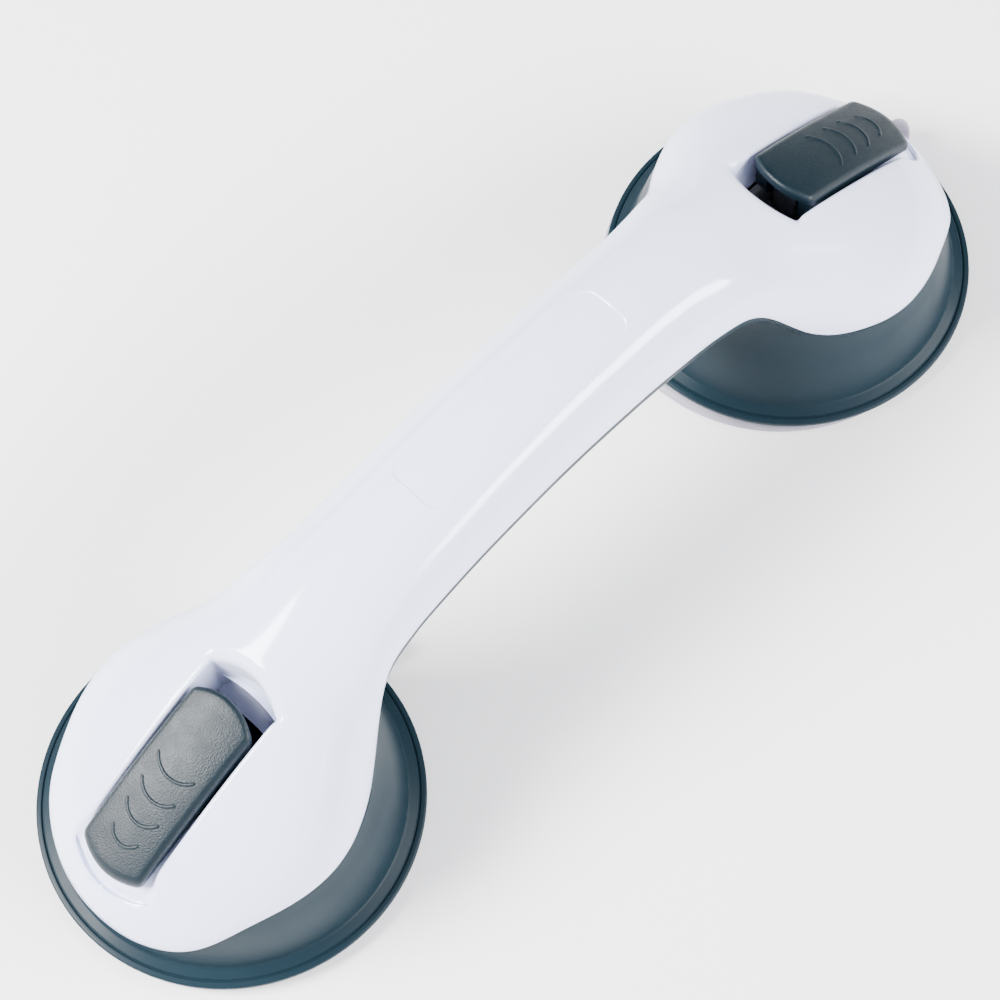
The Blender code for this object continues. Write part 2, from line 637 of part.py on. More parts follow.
def make_screw(name, x, y, seat):
    """Pan-head self-tapping screw, driven upwards, its head against seat from below."""
    under = seat - FIT_GAP
    profile = [(0, under - SCREW_HEAD), (SCREW_HEAD_R * 0.75, under - SCREW_HEAD),
               (SCREW_HEAD_R, under - SCREW_HEAD * 0.6), (SCREW_HEAD_R, under), (SCREW_R, under),
               (SCREW_R, under + SCREW_LENGTH - 0.0015), (0, under + SCREW_LENGTH)]
    screw = turned(name, profile, "steel", (x, y), 16)
    for turn in (0, math.pi / 2):
        slot = [(-0.0015, -0.0003), (0.0015, -0.0003), (0.0015, 0.0003), (-0.0015, 0.0003)]
        spin = Matrix.Rotation(turn, 2)
        slot = [tuple(spin @ Vector(p) + Vector((x, y))) for p in slot]
        recess = extruded("slot", slot, under - SCREW_HEAD - 0.001, under - SCREW_HEAD + 0.001, "Z", "steel")
        screw = combine(screw, recess, "DIFFERENCE")
    return screw


def settle(part, x=0.0, z=0.0):
    """Sets a part's origin on its joint's axis at (x, 0, z), moves it into the final frame and shades it."""
    part.data.transform(Matrix.Translation((-x, 0, -z)))
    part.location = (x - MIDDLE_X, 0, z)
    part.data.shade_smooth()
    part.data.set_sharp_from_angle(angle=math.radians(32))


def main():
    """Builds the whole bar."""
    for old in list(bpy.data.objects):
        bpy.data.objects.remove(old)
    settle(make_upper_shell())
    settle(make_lower_shell())
    number = 0
    for letter, side in SIDES.items():
        axis = side * CUP_X
        settle(make_lever(f"lever_{letter}", side), axis, PIN_Z)
        settle(make_pin(f"pivot_pin_{letter}", side), axis, PIN_Z)
        settle(make_plunger(f"plunger_{letter}", side), axis)
        settle(make_wear_plate(f"wear_plate_{letter}", side), axis)
        settle(make_pad(f"suction_pad_{letter}", side), axis)
        settle(make_spring(f"return_spring_{letter}", side), axis)
        seats = [(CUP_X, CUP_SCREW_Y, DECK_TOP - DECK_THICK), (CUP_X, -CUP_SCREW_Y, DECK_TOP - DECK_THICK),
                 (HANDLE_SCREW_X, 0, handle_boss_top() - SCREW_SEAT)]
        for x, y, seat in seats:
            number += 1
            settle(make_screw(f"shell_screw_{number}", side * x, y, seat), side * x)


main()
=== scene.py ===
"""Looks of the suction grab bar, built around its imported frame.

Everything is in metres, +Z up. X runs along the bar and both cups stand on the plane z = 0. The drawing
of the shells starts from the middle of the handle, and "outwards" along a cup is away from that middle.
"""

from __future__ import annotations

import json
import logging
import math
from dataclasses import dataclass
from enum import Enum
from typing import Sequence

import bmesh
import bpy
import numpy as np
from mathutils import Matrix, Vector
from mathutils.geometry import delaunay_2d_cdt


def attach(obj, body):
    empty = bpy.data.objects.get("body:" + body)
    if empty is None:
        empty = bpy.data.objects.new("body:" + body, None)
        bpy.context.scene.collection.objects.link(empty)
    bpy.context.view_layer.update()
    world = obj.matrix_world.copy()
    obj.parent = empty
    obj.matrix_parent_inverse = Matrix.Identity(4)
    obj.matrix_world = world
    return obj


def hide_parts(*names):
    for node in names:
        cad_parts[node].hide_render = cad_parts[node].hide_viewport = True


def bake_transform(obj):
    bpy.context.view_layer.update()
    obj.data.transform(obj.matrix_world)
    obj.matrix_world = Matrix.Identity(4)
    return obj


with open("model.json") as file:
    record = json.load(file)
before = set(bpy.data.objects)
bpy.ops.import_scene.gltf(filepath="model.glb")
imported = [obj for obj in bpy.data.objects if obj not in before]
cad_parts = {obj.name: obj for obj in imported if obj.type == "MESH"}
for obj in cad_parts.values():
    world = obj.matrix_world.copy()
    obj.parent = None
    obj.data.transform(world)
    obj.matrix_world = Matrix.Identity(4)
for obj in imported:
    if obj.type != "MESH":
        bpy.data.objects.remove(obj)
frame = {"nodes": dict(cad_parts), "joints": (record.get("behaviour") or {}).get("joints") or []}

MM = 0.001
LOG = logging.getLogger("grab_bar")
# The towers, and the plates on them: inwards, outwards and half across, in millimetres.
TOWER = (6.2, 8.5, 10.2)
# Radius of the bore that the plunger slides in, and of the pin holes.
PLUNGER_BORE = 5.6
PIN_HOLE = 2.15


# ---------------------------------------------------------------- small helpers


class Side(Enum):
    """The two cups. The value is the sign of the cup's X."""

    A = -1
    B = 1

    @property
    def letter(self) -> str:
        """The letter that the cup's nodes end in."""
        return self.name.lower()


def linear(code: str) -> tuple[float, float, float, float]:
    """Turns an sRGB hex colour into the linear colour that shaders take.

    Args:
        code: the colour as "#rrggbb".

    Returns:
        Linear red, green and blue, and full alpha.
    """
    values = [int(code[i:i + 2], 16) / 255 for i in (1, 3, 5)]
    red, green, blue = (v / 12.92 if v <= 0.04045 else ((v + 0.055) / 1.055) ** 2.4 for v in values)
    return red, green, blue, 1.0


def add_node(tree: bpy.types.NodeTree, kind: str, inputs: dict | None = None,
             **settings: object) -> bpy.types.Node:
    """Adds a node with its settings and links.

    Args:
        tree: the node tree that it goes in.
        kind: the node's type, such as "ShaderNodeBump".
        inputs: socket name or number to a value, or to the output socket that feeds it.
        **settings: the node's own properties.

    Returns:
        The new node.
    """
    node = tree.nodes.new(kind)
    for name, value in settings.items():
        setattr(node, name, value)
    for name, value in (inputs or {}).items():
        if isinstance(value, bpy.types.NodeSocket):
            tree.links.new(value, node.inputs[name])
        else:
            node.inputs[name].default_value = value
    return node


def unit_steps(count: int) -> np.ndarray:
    """Evenly spaced values from 0 to 1, count steps apart."""
    return np.linspace(0.0, 1.0, count + 1)


def smooth_below(piece: bpy.types.Object, degrees: float) -> None:
    """Shades a piece smooth, with its edges sharp from an angle on."""
    piece.data.shade_smooth()
    piece.data.set_sharp_from_angle(angle=math.radians(degrees))


def piece_from(name: str, bm: bmesh.types.BMesh, finish: bpy.types.Material,
               sharp: float = 35.0) -> bpy.types.Object:
    """Makes an object of a bmesh, smooth but for its sharp edges.

    Args:
        name: the piece's name.
        bm: its shape, which is freed.
        finish: its material.
        sharp: the angle in degrees above which an edge stays sharp.

    Returns:
        The object, at the origin.
    """
    mesh = bpy.data.meshes.new(name)
    bm.to_mesh(mesh)
    bm.free()
    mesh.materials.append(finish)
    mesh.shade_smooth()
    mesh.set_sharp_from_angle(angle=math.radians(sharp))
    made = bpy.data.objects.new(name, mesh)
    bpy.context.scene.collection.objects.link(made)
    return made


def settle_mesh(piece: bpy.types.Object) -> None:
    """Turns a piece with modifiers into a plain mesh."""
    graph = bpy.context.evaluated_depsgraph_get()
    mesh = bpy.data.meshes.new_from_object(piece.evaluated_get(graph))
    piece.modifiers.clear()
    piece.data = mesh


def combine(piece: bpy.types.Object, tool: bpy.types.Object, operation: str) -> None:
    """Joins tool to the piece, or cuts it out of the piece, and removes the tool.

    Args:
        piece: the closed mesh that is changed.
        tool: the closed mesh that is used up.
        operation: "UNION" or "DIFFERENCE".
    """
    step = piece.modifiers.new("cut", "BOOLEAN")
    step.solver = "MANIFOLD"
    step.operation = operation
    step.object = tool
    settle_mesh(piece)
    bpy.data.objects.remove(tool)


def outward(bm: bmesh.types.BMesh) -> None:
    """Merges doubled points and turns every face outwards."""
    bmesh.ops.remove_doubles(bm, verts=bm.verts, dist=1e-6)
    bmesh.ops.dissolve_degenerate(bm, edges=bm.edges, dist=1e-7)
    bmesh.ops.recalc_face_normals(bm, faces=bm.faces)


def strip(bm: bmesh.types.BMesh, one: Sequence, two: Sequence, closed: bool = False) -> None:
    """Fills the band between two rows of points of equal length.

    Args:
        bm: the mesh that gets the faces.
        one: the first row of vertices.
        two: the second row.
        closed: whether the rows are loops.
    """
    count = len(one)
    for i in range(count if closed else count - 1):
        j = (i + 1) % count
        corners = [one[i], one[j], two[j], two[i]]
        corners = [v for k, v in enumerate(corners) if v not in corners[:k]]
        if len(corners) > 2:
            bm.faces.new(corners)


def turned(name: str, profile: Sequence[tuple[float, float]], finish: bpy.types.Material,
           centre: tuple[float, float], segments: int = 96) -> bpy.types.Object:
    """Makes a round solid by turning a closed profile about an upright axis.

    Args:
        name: the piece's name.
        profile: (radius, height) points.
        finish: its material.
        centre: the axis in plan.
        segments: how many steps the turn takes.

    Returns:
        The object.
    """
    bm = bmesh.new()
    rings = []
    for angle in 2 * math.pi * unit_steps(segments)[:-1]:
        rings.append([bm.verts.new((centre[0] + r * math.cos(angle), centre[1] + r * math.sin(angle), z))
                      for r, z in profile])
    for ring, after in zip(rings, rings[1:] + rings[:1]):
        strip(bm, ring, after, closed=True)
    outward(bm)
    return piece_from(name, bm, finish)


def prism(name: str, outline: Sequence[tuple[float, float]], low: float, high: float,
          finish: bpy.types.Material, across: bool = False) -> bpy.types.Object:
    """Makes a straight solid from an outline.

    Args:
        name: the piece's name.
        outline: (x, y) points, or (x, z) points when it runs across the bar.
        low: where it starts along its own direction.
        high: where it ends.
        finish: its material.
        across: whether it runs along Y and not along Z.

    Returns:
        The object.
    """
    bm = bmesh.new()
    rows = [[bm.verts.new((a, at, b) if across else (a, b, at)) for a, b in outline] for at in (low, high)]
    for row in rows:
        bm.faces.new(row)
    strip(bm, rows[0], rows[1], closed=True)
    outward(bm)
    return piece_from(name, bm, finish)


def rounded_profile(corners: Sequence[tuple[float, float, float]],
                    steps: int = 5) -> list[tuple[float, float]]:
    """Rounds the corners of a closed outline.

    Args:
        corners: (a, b, radius) for each corner, in order.
        steps: how many steps each round corner takes.

    Returns:
        The outline's points.
    """
    points = []
    for i, (a, b, radius) in enumerate(corners):
        here = Vector((a, b))
        before, after = (Vector(corners[k][:2]) - here for k in (i - 1, (i + 1) % len(corners)))
        if radius <= 0:
            points.append((a, b))
            continue
        before, after = before.normalized(), after.normalized()
        half = before.angle(after) / 2
        reach = radius / math.tan(half)
        middle = here + (before + after).normalized() * radius / math.sin(half)
        start, end = here + before * reach - middle, here + after * reach - middle
        sweep = start.angle_signed(end)
        for t in unit_steps(steps):
            turn = -sweep * t
            spun = Vector((start.x * math.cos(turn) - start.y * math.sin(turn),
                           start.x * math.sin(turn) + start.y * math.cos(turn)))
            points.append(tuple(middle + spun))
    return points


def densified(points: Sequence[tuple[float, float]], pitch: float) -> np.ndarray:
    """Adds points along the sides of a closed outline.

    Args:
        points: its corners.
        pitch: about how far apart the points are to be.

    Returns:
        An array of points.
    """
    dense = []
    for (ax, ay), (bx, by) in zip(points, points[1:] + points[:1]):
        count = max(1, round(math.hypot(bx - ax, by - ay) / pitch))
        dense += [(ax + (bx - ax) * t, ay + (by - ay) * t) for t in unit_steps(count)[:-1]]
    return np.array(dense)


def tower_plan(cup: Cup, steps: int) -> list[tuple[float, float]]:
    """Plan of a tower or its plate, its corners rounded with so many steps each."""
    inner, outer, half = (v * MM for v in TOWER)
    plan = rounded_profile([(-inner, -half, MM), (outer, -half, MM), (outer, half, MM), (-inner, half, MM)],
                           steps)
    return [cup.spot(out, y, 0)[:2] for out, y in plan]


def bore_across(piece: bpy.types.Object, cup: Cup) -> None:
    """Cuts the pin's hole through a piece."""
    hole = PIN_HOLE * MM
    ring = [(cup.axis_x + hole * math.cos(t), cup.pin_z + hole * math.sin(t))
            for t in 2 * math.pi * unit_steps(32)[:-1]]
    cutter = prism("hole", ring, -20 * MM, 20 * MM, piece.data.materials[0], across=True)
    combine(piece, cutter, "DIFFERENCE")


class SmoothLine:
    """A soft line through a few (x, value) points, level at its start."""

    STEP = 0.25 * MM

    def __init__(self, points: Sequence[tuple[float, float]], soften: float, level_end: bool = False) -> None:
        """Works the line out once.

        Args:
            points: (x, value) in millimetres, with rising x.
            soften: half the width over which the line is averaged, in millimetres.
            level_end: whether the line also ends level.
        """
        xs, ys = np.array(points).T * MM
        steps = np.diff(ys) / np.diff(xs)
        product = steps[:-1] * steps[1:]
        inner = np.where(product > 0, 2 * product / np.where(product > 0, steps[:-1] + steps[1:], 1), 0)
        slopes = np.concatenate([[0], inner, [0 if level_end else steps[-1]]])
        self.xs = np.arange(xs[0], xs[-1] + self.STEP / 2, self.STEP)
        i = np.clip(np.searchsorted(xs, self.xs, side="right") - 1, 0, len(steps) - 1)
        h = xs[i + 1] - xs[i]
        t = (self.xs - xs[i]) / h
        rise = t * t * (3 - 2 * t)
        values = (ys[i] + (ys[i + 1] - ys[i]) * rise
                  + h * (slopes[i] * t * (1 - t) ** 2 - slopes[i + 1] * t * t * (1 - t)))
        reach = int(soften * MM / self.STEP)
        end = values[-reach - 1:-1][::-1] if level_end else 2 * values[-1] - values[-reach - 1:-1][::-1]
        padded = np.concatenate([values[1:reach + 1][::-1], values, end])
        kernel = np.hanning(2 * reach + 3)[1:-1]
        self.values = np.convolve(padded, kernel / kernel.sum(), "valid")

    def __call__(self, x: np.ndarray | float) -> np.ndarray:
        """The line's value at x, in metres."""
        return np.interp(x, self.xs, self.values)


# ---------------------------------------------------------------- finishes


@dataclass(frozen=True)
class Finish:
    """A finish: what the material is, and how its surface was made."""

    name: str
    colour: str
    roughness: float
    slot: str

    def shader(self) -> tuple[bpy.types.Material, bpy.types.NodeTree, bpy.types.Node, bpy.types.NodeSocket]:
        """Starts the material.

        Returns:
            The material, its tree, its shader and the object's coordinates.
        """
        material = bpy.data.materials.new(self.name)
        material.use_nodes = True
        tree = material.node_tree
        shader = tree.nodes["Principled BSDF"]
        shader.inputs["Base Color"].default_value = linear(self.colour)
        shader.inputs["Roughness"].default_value = self.roughness
        where = add_node(tree, "ShaderNodeTexCoord").outputs["Object"]
        return material, tree, shader, where

    def noise(self, tree: bpy.types.NodeTree, where: bpy.types.NodeSocket, grain_mm: float,
              detail: float = 2.0) -> bpy.types.NodeSocket:
        """Adds a noise whose grains have a real size.

        Args:
            tree: the material's tree.
            where: the coordinates.
            grain_mm: the size of a grain in millimetres.
            detail: how many finer layers it has.

        Returns:
            The noise's value.
        """
        scale = 1 / (grain_mm * MM)
        inputs = {"Vector": where, "Scale": scale, "Detail": detail}
        return add_node(tree, "ShaderNodeTexNoise", inputs).outputs[0]

    def vary_roughness(self, tree: bpy.types.NodeTree, shader: bpy.types.Node, value: bpy.types.NodeSocket,
                       spread: float) -> None:
        """Lets the roughness follow a value, a little up and down from its middle."""
        ranged = add_node(tree, "ShaderNodeMapRange", {"Value": value, "From Min": 0.15, "From Max": 0.85,
                                                       "To Min": self.roughness - 1.6 * spread,
                                                       "To Max": self.roughness + 1.6 * spread})
        tree.links.new(ranged.outputs[0], shader.inputs["Roughness"])

    def vary_colour(self, tree: bpy.types.NodeTree, shader: bpy.types.Node, value: bpy.types.NodeSocket,
                    other: str, share: float) -> None:
        """Lets the colour drift towards another one where the value is high."""
        factor = add_node(tree, "ShaderNodeMath", {0: value, 1: share}, operation="MULTIPLY").outputs[0]
        mixed = add_node(tree, "ShaderNodeMix", {0: factor, 6: linear(self.colour), 7: linear(other)},
                         data_type="RGBA")
        tree.links.new(mixed.outputs[2], shader.inputs["Base Color"])

    def bump(self, tree: bpy.types.NodeTree, shader: bpy.types.Node, height: bpy.types.NodeSocket,
             depth_mm: float, strength: float = 1.0) -> None:
        """Raises the surface by a height field of real depth."""
        inputs = {"Height": height, "Distance": depth_mm * MM, "Strength": strength}
        node = add_node(tree, "ShaderNodeBump", inputs)
        tree.links.new(node.outputs[0], shader.inputs["Normal"])


@dataclass(frozen=True)
class PolishedAbs(Finish):
    """White ABS from a polished mould: mirror gloss over a faint waviness, with soft wipe marks."""

    wave_mm: float = 9.0
    wipe_mm: float = 22.0

    def build(self) -> bpy.types.Material:
        """Makes the material."""
        material, tree, shader, where = self.shader()
        shader.inputs["IOR"].default_value = 1.52
        shader.inputs["Subsurface Weight"].default_value = 0.12
        shader.inputs["Subsurface Radius"].default_value = (1.0, 0.95, 0.9)
        shader.inputs["Subsurface Scale"].default_value = 1.2 * MM
        wipe = self.noise(tree, where, self.wipe_mm, 4.0)
        self.vary_roughness(tree, shader, wipe, 0.035)
        self.vary_colour(tree, shader, self.noise(tree, where, 60.0), "#d6ddf8", 0.35)
        self.bump(tree, shader, self.noise(tree, where, self.wave_mm), 0.02)
        return material


@dataclass(frozen=True)
class SatinAbs(Finish):
    """Dark blue-green ABS from a fine-blasted mould: a satin sheen, paler where hands rub it."""

    grain_mm: float = 0.5
    grain_depth_mm: float = 0.006
    pale: str = "#1b323b"

    def build(self) -> bpy.types.Material:
        """Makes the material."""
        material, tree, shader, where = self.shader()
        shader.inputs["Specular IOR Level"].default_value = 0.12
        self.vary_roughness(tree, shader, self.noise(tree, where, 14.0, 4.0), 0.05)
        self.vary_colour(tree, shader, self.noise(tree, where, 30.0, 3.0), self.pale, 0.3)
        self.bump(tree, shader, self.noise(tree, where, self.grain_mm), self.grain_depth_mm)
        return material


@dataclass(frozen=True)
class SparkAbs(Finish):
    """Dark blue-green ABS with a spark-eroded texture: fine grains that glitter where light grazes them."""

    grain_mm: float = 0.42
    grain_depth_mm: float = 0.1

    def build(self) -> bpy.types.Material:
        """Makes the material, with grains a little coarser than real ones, so that they show."""
        material, tree, shader, where = self.shader()
        shader.inputs["Specular IOR Level"].default_value = 0.26
        grains = self.noise(tree, where, self.grain_mm, 3.0)
        self.vary_roughness(tree, shader, self.noise(tree, where, 5.0), 0.05)
        self.vary_colour(tree, shader, self.noise(tree, where, 12.0, 3.0), "#0f2027", 0.3)
        self.bump(tree, shader, grains, self.grain_depth_mm)
        return material


@dataclass(frozen=True)
class SoftPvc(Finish):
    """Milky soft PVC: light goes a few millimetres in, and the skin has a tacky sheen and flow marks."""

    def build(self) -> bpy.types.Material:
        """Makes the material."""
        material, tree, shader, where = self.shader()
        shader.inputs["IOR"].default_value = 1.53
        shader.inputs["Subsurface Weight"].default_value = 0.55
        shader.inputs["Subsurface Radius"].default_value = (1.0, 0.95, 1.0)
        shader.inputs["Subsurface Scale"].default_value = 3 * MM
        self.vary_roughness(tree, shader, self.noise(tree, where, 6.0, 4.0), 0.06)
        self.vary_colour(tree, shader, self.noise(tree, where, 18.0, 4.0), "#cfccd6", 0.4)
        self.bump(tree, shader, self.noise(tree, where, 4.0, 3.0), 0.05)
        return material


@dataclass(frozen=True)
class BlackNylon(Finish):
    """Moulded nylon painted near-black as painted shade for the cavity under the lever: waxy, with faint flow
    clouds.
    """

    def build(self) -> bpy.types.Material:
        """Makes the material."""
        material, tree, shader, where = self.shader()
        self.vary_roughness(tree, shader, self.noise(tree, where, 3.0, 3.0), 0.06)
        self.vary_colour(tree, shader, self.noise(tree, where, 8.0, 3.0), "#2a2b2e", 0.5)
        self.bump(tree, shader, self.noise(tree, where, 0.8), 0.01)
        return material


@dataclass(frozen=True)
class ZincSteel(Finish):
    """Zinc-plated steel: a grey metal with drawn or turned lines and dull patches."""

    def build(self) -> bpy.types.Material:
        """Makes the material."""
        material, tree, shader, where = self.shader()
        shader.inputs["Metallic"].default_value = 1.0
        stretched = add_node(tree, "ShaderNodeMapping", {"Vector": where, "Scale": (1, 1, 9)}).outputs[0]
        lines = self.noise(tree, stretched, 1.2, 4.0)
        self.vary_roughness(tree, shader, lines, 0.09)
        self.vary_colour(tree, shader, self.noise(tree, where, 2.5, 4.0), "#8e8f91", 0.6)
        self.bump(tree, shader, lines, 0.006)
        return material


class Finishes:
    """All the finishes of the object, each made once."""

    def __init__(self) -> None:
        """Builds the materials."""
        specs = {
            "white": PolishedAbs("white_polished_abs", "#dde3ff", 0.11, "white_abs"),
            "teal": SatinAbs("blue_green_satin_abs", "#0f1e26", 0.36, "dark_teal_abs"),
            "spark": SparkAbs("blue_green_spark_textured_abs", "#07161d", 0.42, "dark_teal_abs"),
            # The plunger's near-black nylon is painted shade: it makes the cavity under the lever look dark.
            "pvc": SoftPvc("milky_soft_pvc", "#817e8b", 0.44, "soft_clear_pvc"),
            "nylon": BlackNylon("black_nylon", "#17181a", 0.42, "black_nylon"),
            "steel": ZincSteel("zinc_plated_steel", "#b9babd", 0.44, "steel"),
        }
        self.materials = {key: spec.build() for key, spec in specs.items()}
        self.slots = {key: spec.slot for key, spec in specs.items()}

    def __getitem__(self, key: str) -> bpy.types.Material:
        """The material of one finish."""
        return self.materials[key]


def hand_over(piece: bpy.types.Object, node: str, body: str | None) -> None:
    """Tells the frame what a finished piece is.

    Args:
        piece: the finished object.
        node: the frame's node that it stands for.
        body: the body that it rides on, or None, which leaves it on no body.
    """
    if body:
        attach(piece, body)
    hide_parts(node)
    LOG.info("%s: %d faces", piece.name, len(piece.data.polygons))


# ---------------------------------------------------------------- the frame's places


@dataclass(frozen=True)
class Cup:
    """One cup: its axis, its lever's pin, and which way is outwards."""

    side: Side
    axis_x: float
    pin_z: float

    def spot(self, out: float, y: float, z: float) -> tuple[float, float, float]:
        """A point given by how far outwards of the cup's axis it is."""
        return self.axis_x + self.side.value * out, y, z

    def node(self, name: str) -> str:
        """The name of one of this cup's nodes."""
        return f"{name}_{self.side.letter}"


def cups_of(joints: Sequence[dict]) -> list[Cup]:
    """Reads both cups' axes from the lever hinges."""
    pins = {joint["name"]: joint["pos_m"] for joint in joints if joint["type"] == "hinge"}
    return [Cup(side, pins[f"lever_hinge_{side.letter}"][0], pins[f"lever_hinge_{side.letter}"][2])
            for side in Side]


@dataclass
class Arch:
    """The outer form that both shells share: ridge, parting line, plan and underside, in millimetres."""

    cup: float
    middle: float
    ridge_top: float = 77.0
    ridge_sag: float = 420.0
    round_from: float = 26.0
    roundness: float = 2.4
    hood_fullness: float = 1.75
    under_top: float = 50.5
    under_sag: float = 500.0
    trough_least: float = 6.0
    nose: Sequence[tuple[float, float]] = (
        (0, 43.8), (12, 43.8), (22, 43.5), (32, 43.0), (42, 41.8), (52, 39.9), (62, 38.8), (75, 38.5),
        (90, 38.5))
    widths: Sequence[tuple[float, float]] = (
        (0, 18.1), (30, 18.3), (48, 18.7), (56, 19.4), (62, 20.4), (66, 21.8), (72, 24.9), (78, 28.7),
        (84, 32.6), (90, 35.6), (96, 37.7), (102, 38.5))
    seam: Sequence[tuple[float, float]] = (
        (0, 61.4), (24, 60.2), (42, 57.6), (54, 55.4), (60, 54.2), (65, 51.2), (69, 46.3), (73, 40.0),
        (77, 34.6), (82, 31.2), (88, 29.8), (95, 29.0), (102, 28.2), (115, 26.4), (124, 24.2), (131, 21.0),
        (137, 16.6), (141, 13.9), (146, 12.2))

    def __post_init__(self) -> None:
        """Works the soft lines out."""
        self.seam_line = SmoothLine(self.seam, 3.0)
        self.width_line = SmoothLine(self.widths, 3.0, level_end=True)
        turn = np.linspace(0, math.pi / 2, 241)
        reach = SmoothLine(self.nose, 8.0, level_end=True)(np.degrees(turn) * MM)
        self.nose_x, self.nose_y = (reach * np.cos(turn))[::-1], (reach * np.sin(turn))[::-1]
        self.end = self.cup + self.nose[0][1] * MM

    def seam_z(self, x: np.ndarray) -> np.ndarray:
        """Height of the parting line."""
        return self.seam_line(np.abs(x))

    def half_width(self, x: np.ndarray) -> np.ndarray:
        """Half width at the parting line."""
        x = np.abs(x)
        return np.where(x < self.cup, self.width_line(x), np.interp(x - self.cup, self.nose_x, self.nose_y))

    def ridge_z(self, x: np.ndarray) -> np.ndarray:
        """Height along the middle of the bar."""
        x = np.abs(x)
        arch = (self.ridge_top - (x / MM) ** 2 / self.ridge_sag) * MM
        begin = self.cup + self.round_from * MM
        past = np.clip((x - begin) / (self.end - begin), 0, 1)
        foot = self.seam_z(self.end)
        return foot + (arch - foot) * (1 - past ** self.roundness) ** (1 / self.roundness)

    def under_z(self, x: np.ndarray) -> np.ndarray:
        """Height of the handle's underside along the middle of the bar."""
        return (self.under_top - (x / MM) ** 2 / self.under_sag) * MM

    def top_point(self, x: np.ndarray, share: np.ndarray) -> np.ndarray:
        """Points on the upper surface.

        Args:
            x: along the bar, from its middle.
            share: 0 at one parting line, 0.5 on the ridge, 1 at the other.

        Returns:
            An array of points, in the drawing's own frame.
        """
        low, high, angle = self.seam_z(x), self.ridge_z(x), math.pi * share
        power = 2 / self.fullness(x)
        side, rise = -np.cos(angle), np.clip(np.sin(angle), 0, 1)
        return np.stack([x, self.half_width(x) * np.sign(side) * np.abs(side) ** power,
                         low + (high - low) * rise ** power], -1)

    def fullness(self, x: np.ndarray) -> np.ndarray:
        """Exponent of the cross section: an ellipse on the handle, leaner over the cups."""
        share = np.clip((np.abs(x) / MM - 58) / 36, 0, 1)
        return 2 - (2 - self.hood_fullness) * share * share * (3 - 2 * share)

    def share_at(self, x: np.ndarray, y: np.ndarray) -> np.ndarray:
        """Where a plan point lies across the upper surface, from 0 to 1."""
        side = np.clip(y / self.half_width(x), -1, 1)
        return np.arccos(-np.sign(side) * np.abs(side) ** (self.fullness(x) / 2)) / math.pi

    def top_z(self, x: np.ndarray, y: np.ndarray) -> np.ndarray:
        """Height of the upper surface over a plan point."""
        return self.top_point(x, self.share_at(x, y))[..., 2]

    def girth(self, x: np.ndarray) -> np.ndarray:
        """Length over the upper surface from one parting line to the other, close enough to space points."""
        rise = self.ridge_z(x) - self.seam_z(x)
        return math.pi * np.sqrt((self.half_width(x) ** 2 + rise ** 2) / 2)


@dataclass
class Loop:
    """A closed plan outline with the direction that faces out of it at each point."""

    points: np.ndarray

    @property
    def normals(self) -> np.ndarray:
        """Unit directions out of the outline, which runs anticlockwise."""
        along = np.roll(self.points, -1, 0) - np.roll(self.points, 1, 0)
        out = np.stack([along[:, 1], -along[:, 0]], -1)
        return out / np.linalg.norm(out, axis=1, keepdims=True)

    def grown(self, by: np.ndarray | float) -> np.ndarray:
        """The outline moved outwards."""
        return self.points + self.normals * np.broadcast_to(by, len(self.points))[:, None]

    def contains(self, spots: np.ndarray) -> np.ndarray:
        """Which plan points lie inside."""
        inside = np.zeros(len(spots), bool)
        for (ax, ay), (bx, by) in zip(self.points, np.roll(self.points, -1, 0)):
            crosses = (ay > spots[:, 1]) != (by > spots[:, 1])
            at = ax + (spots[:, 1] - ay) * (bx - ax) / (by - ay if by != ay else 1)
            inside ^= crosses & (spots[:, 0] < at)
        return inside

    def clearance(self, spots: np.ndarray) -> np.ndarray:
        """Distance from plan points to the outline's nearest point."""
        return np.min(np.linalg.norm(spots[:, None] - self.points[None], axis=2), axis=1)


def nosed_outline(inner: float, outer: float, nose_in: float, nose_out: float, half: float, corner: float,
                  pitch: float = 0.8) -> Loop:
    """Plan of a lever or of its well: straight sides, round ends and small round corners.

    Args:
        inner: from the cup's axis inwards to the inner corners, in millimetres.
        outer: from the axis outwards to the outer corners.
        nose_in: how far the inner end bulges past its corners.
        nose_out: the same for the outer end.
        half: half the width.
        corner: radius of the corners.
        pitch: spacing of the points.

    Returns:
        The loop in (outwards, y), in metres, anticlockwise.
    """
    end_steps = int(2 * half / pitch)
    # The points next to the corners go, which leaves the corners room for their rounding.
    across = np.delete(np.linspace(-1, 1, end_steps + 1), (1, end_steps - 1))
    points = [(outer + nose_out * (1 - t * t), half * t) for t in across]
    points += [(-inner - nose_in * (1 - t * t), half * t) for t in across[::-1]]
    corners = {0, len(across) - 1, len(across), 2 * len(across) - 1}
    rounded = rounded_profile([(a, b, corner if i in corners else 0) for i, (a, b) in enumerate(points)], 4)
    return Loop(densified(rounded, pitch) * MM)


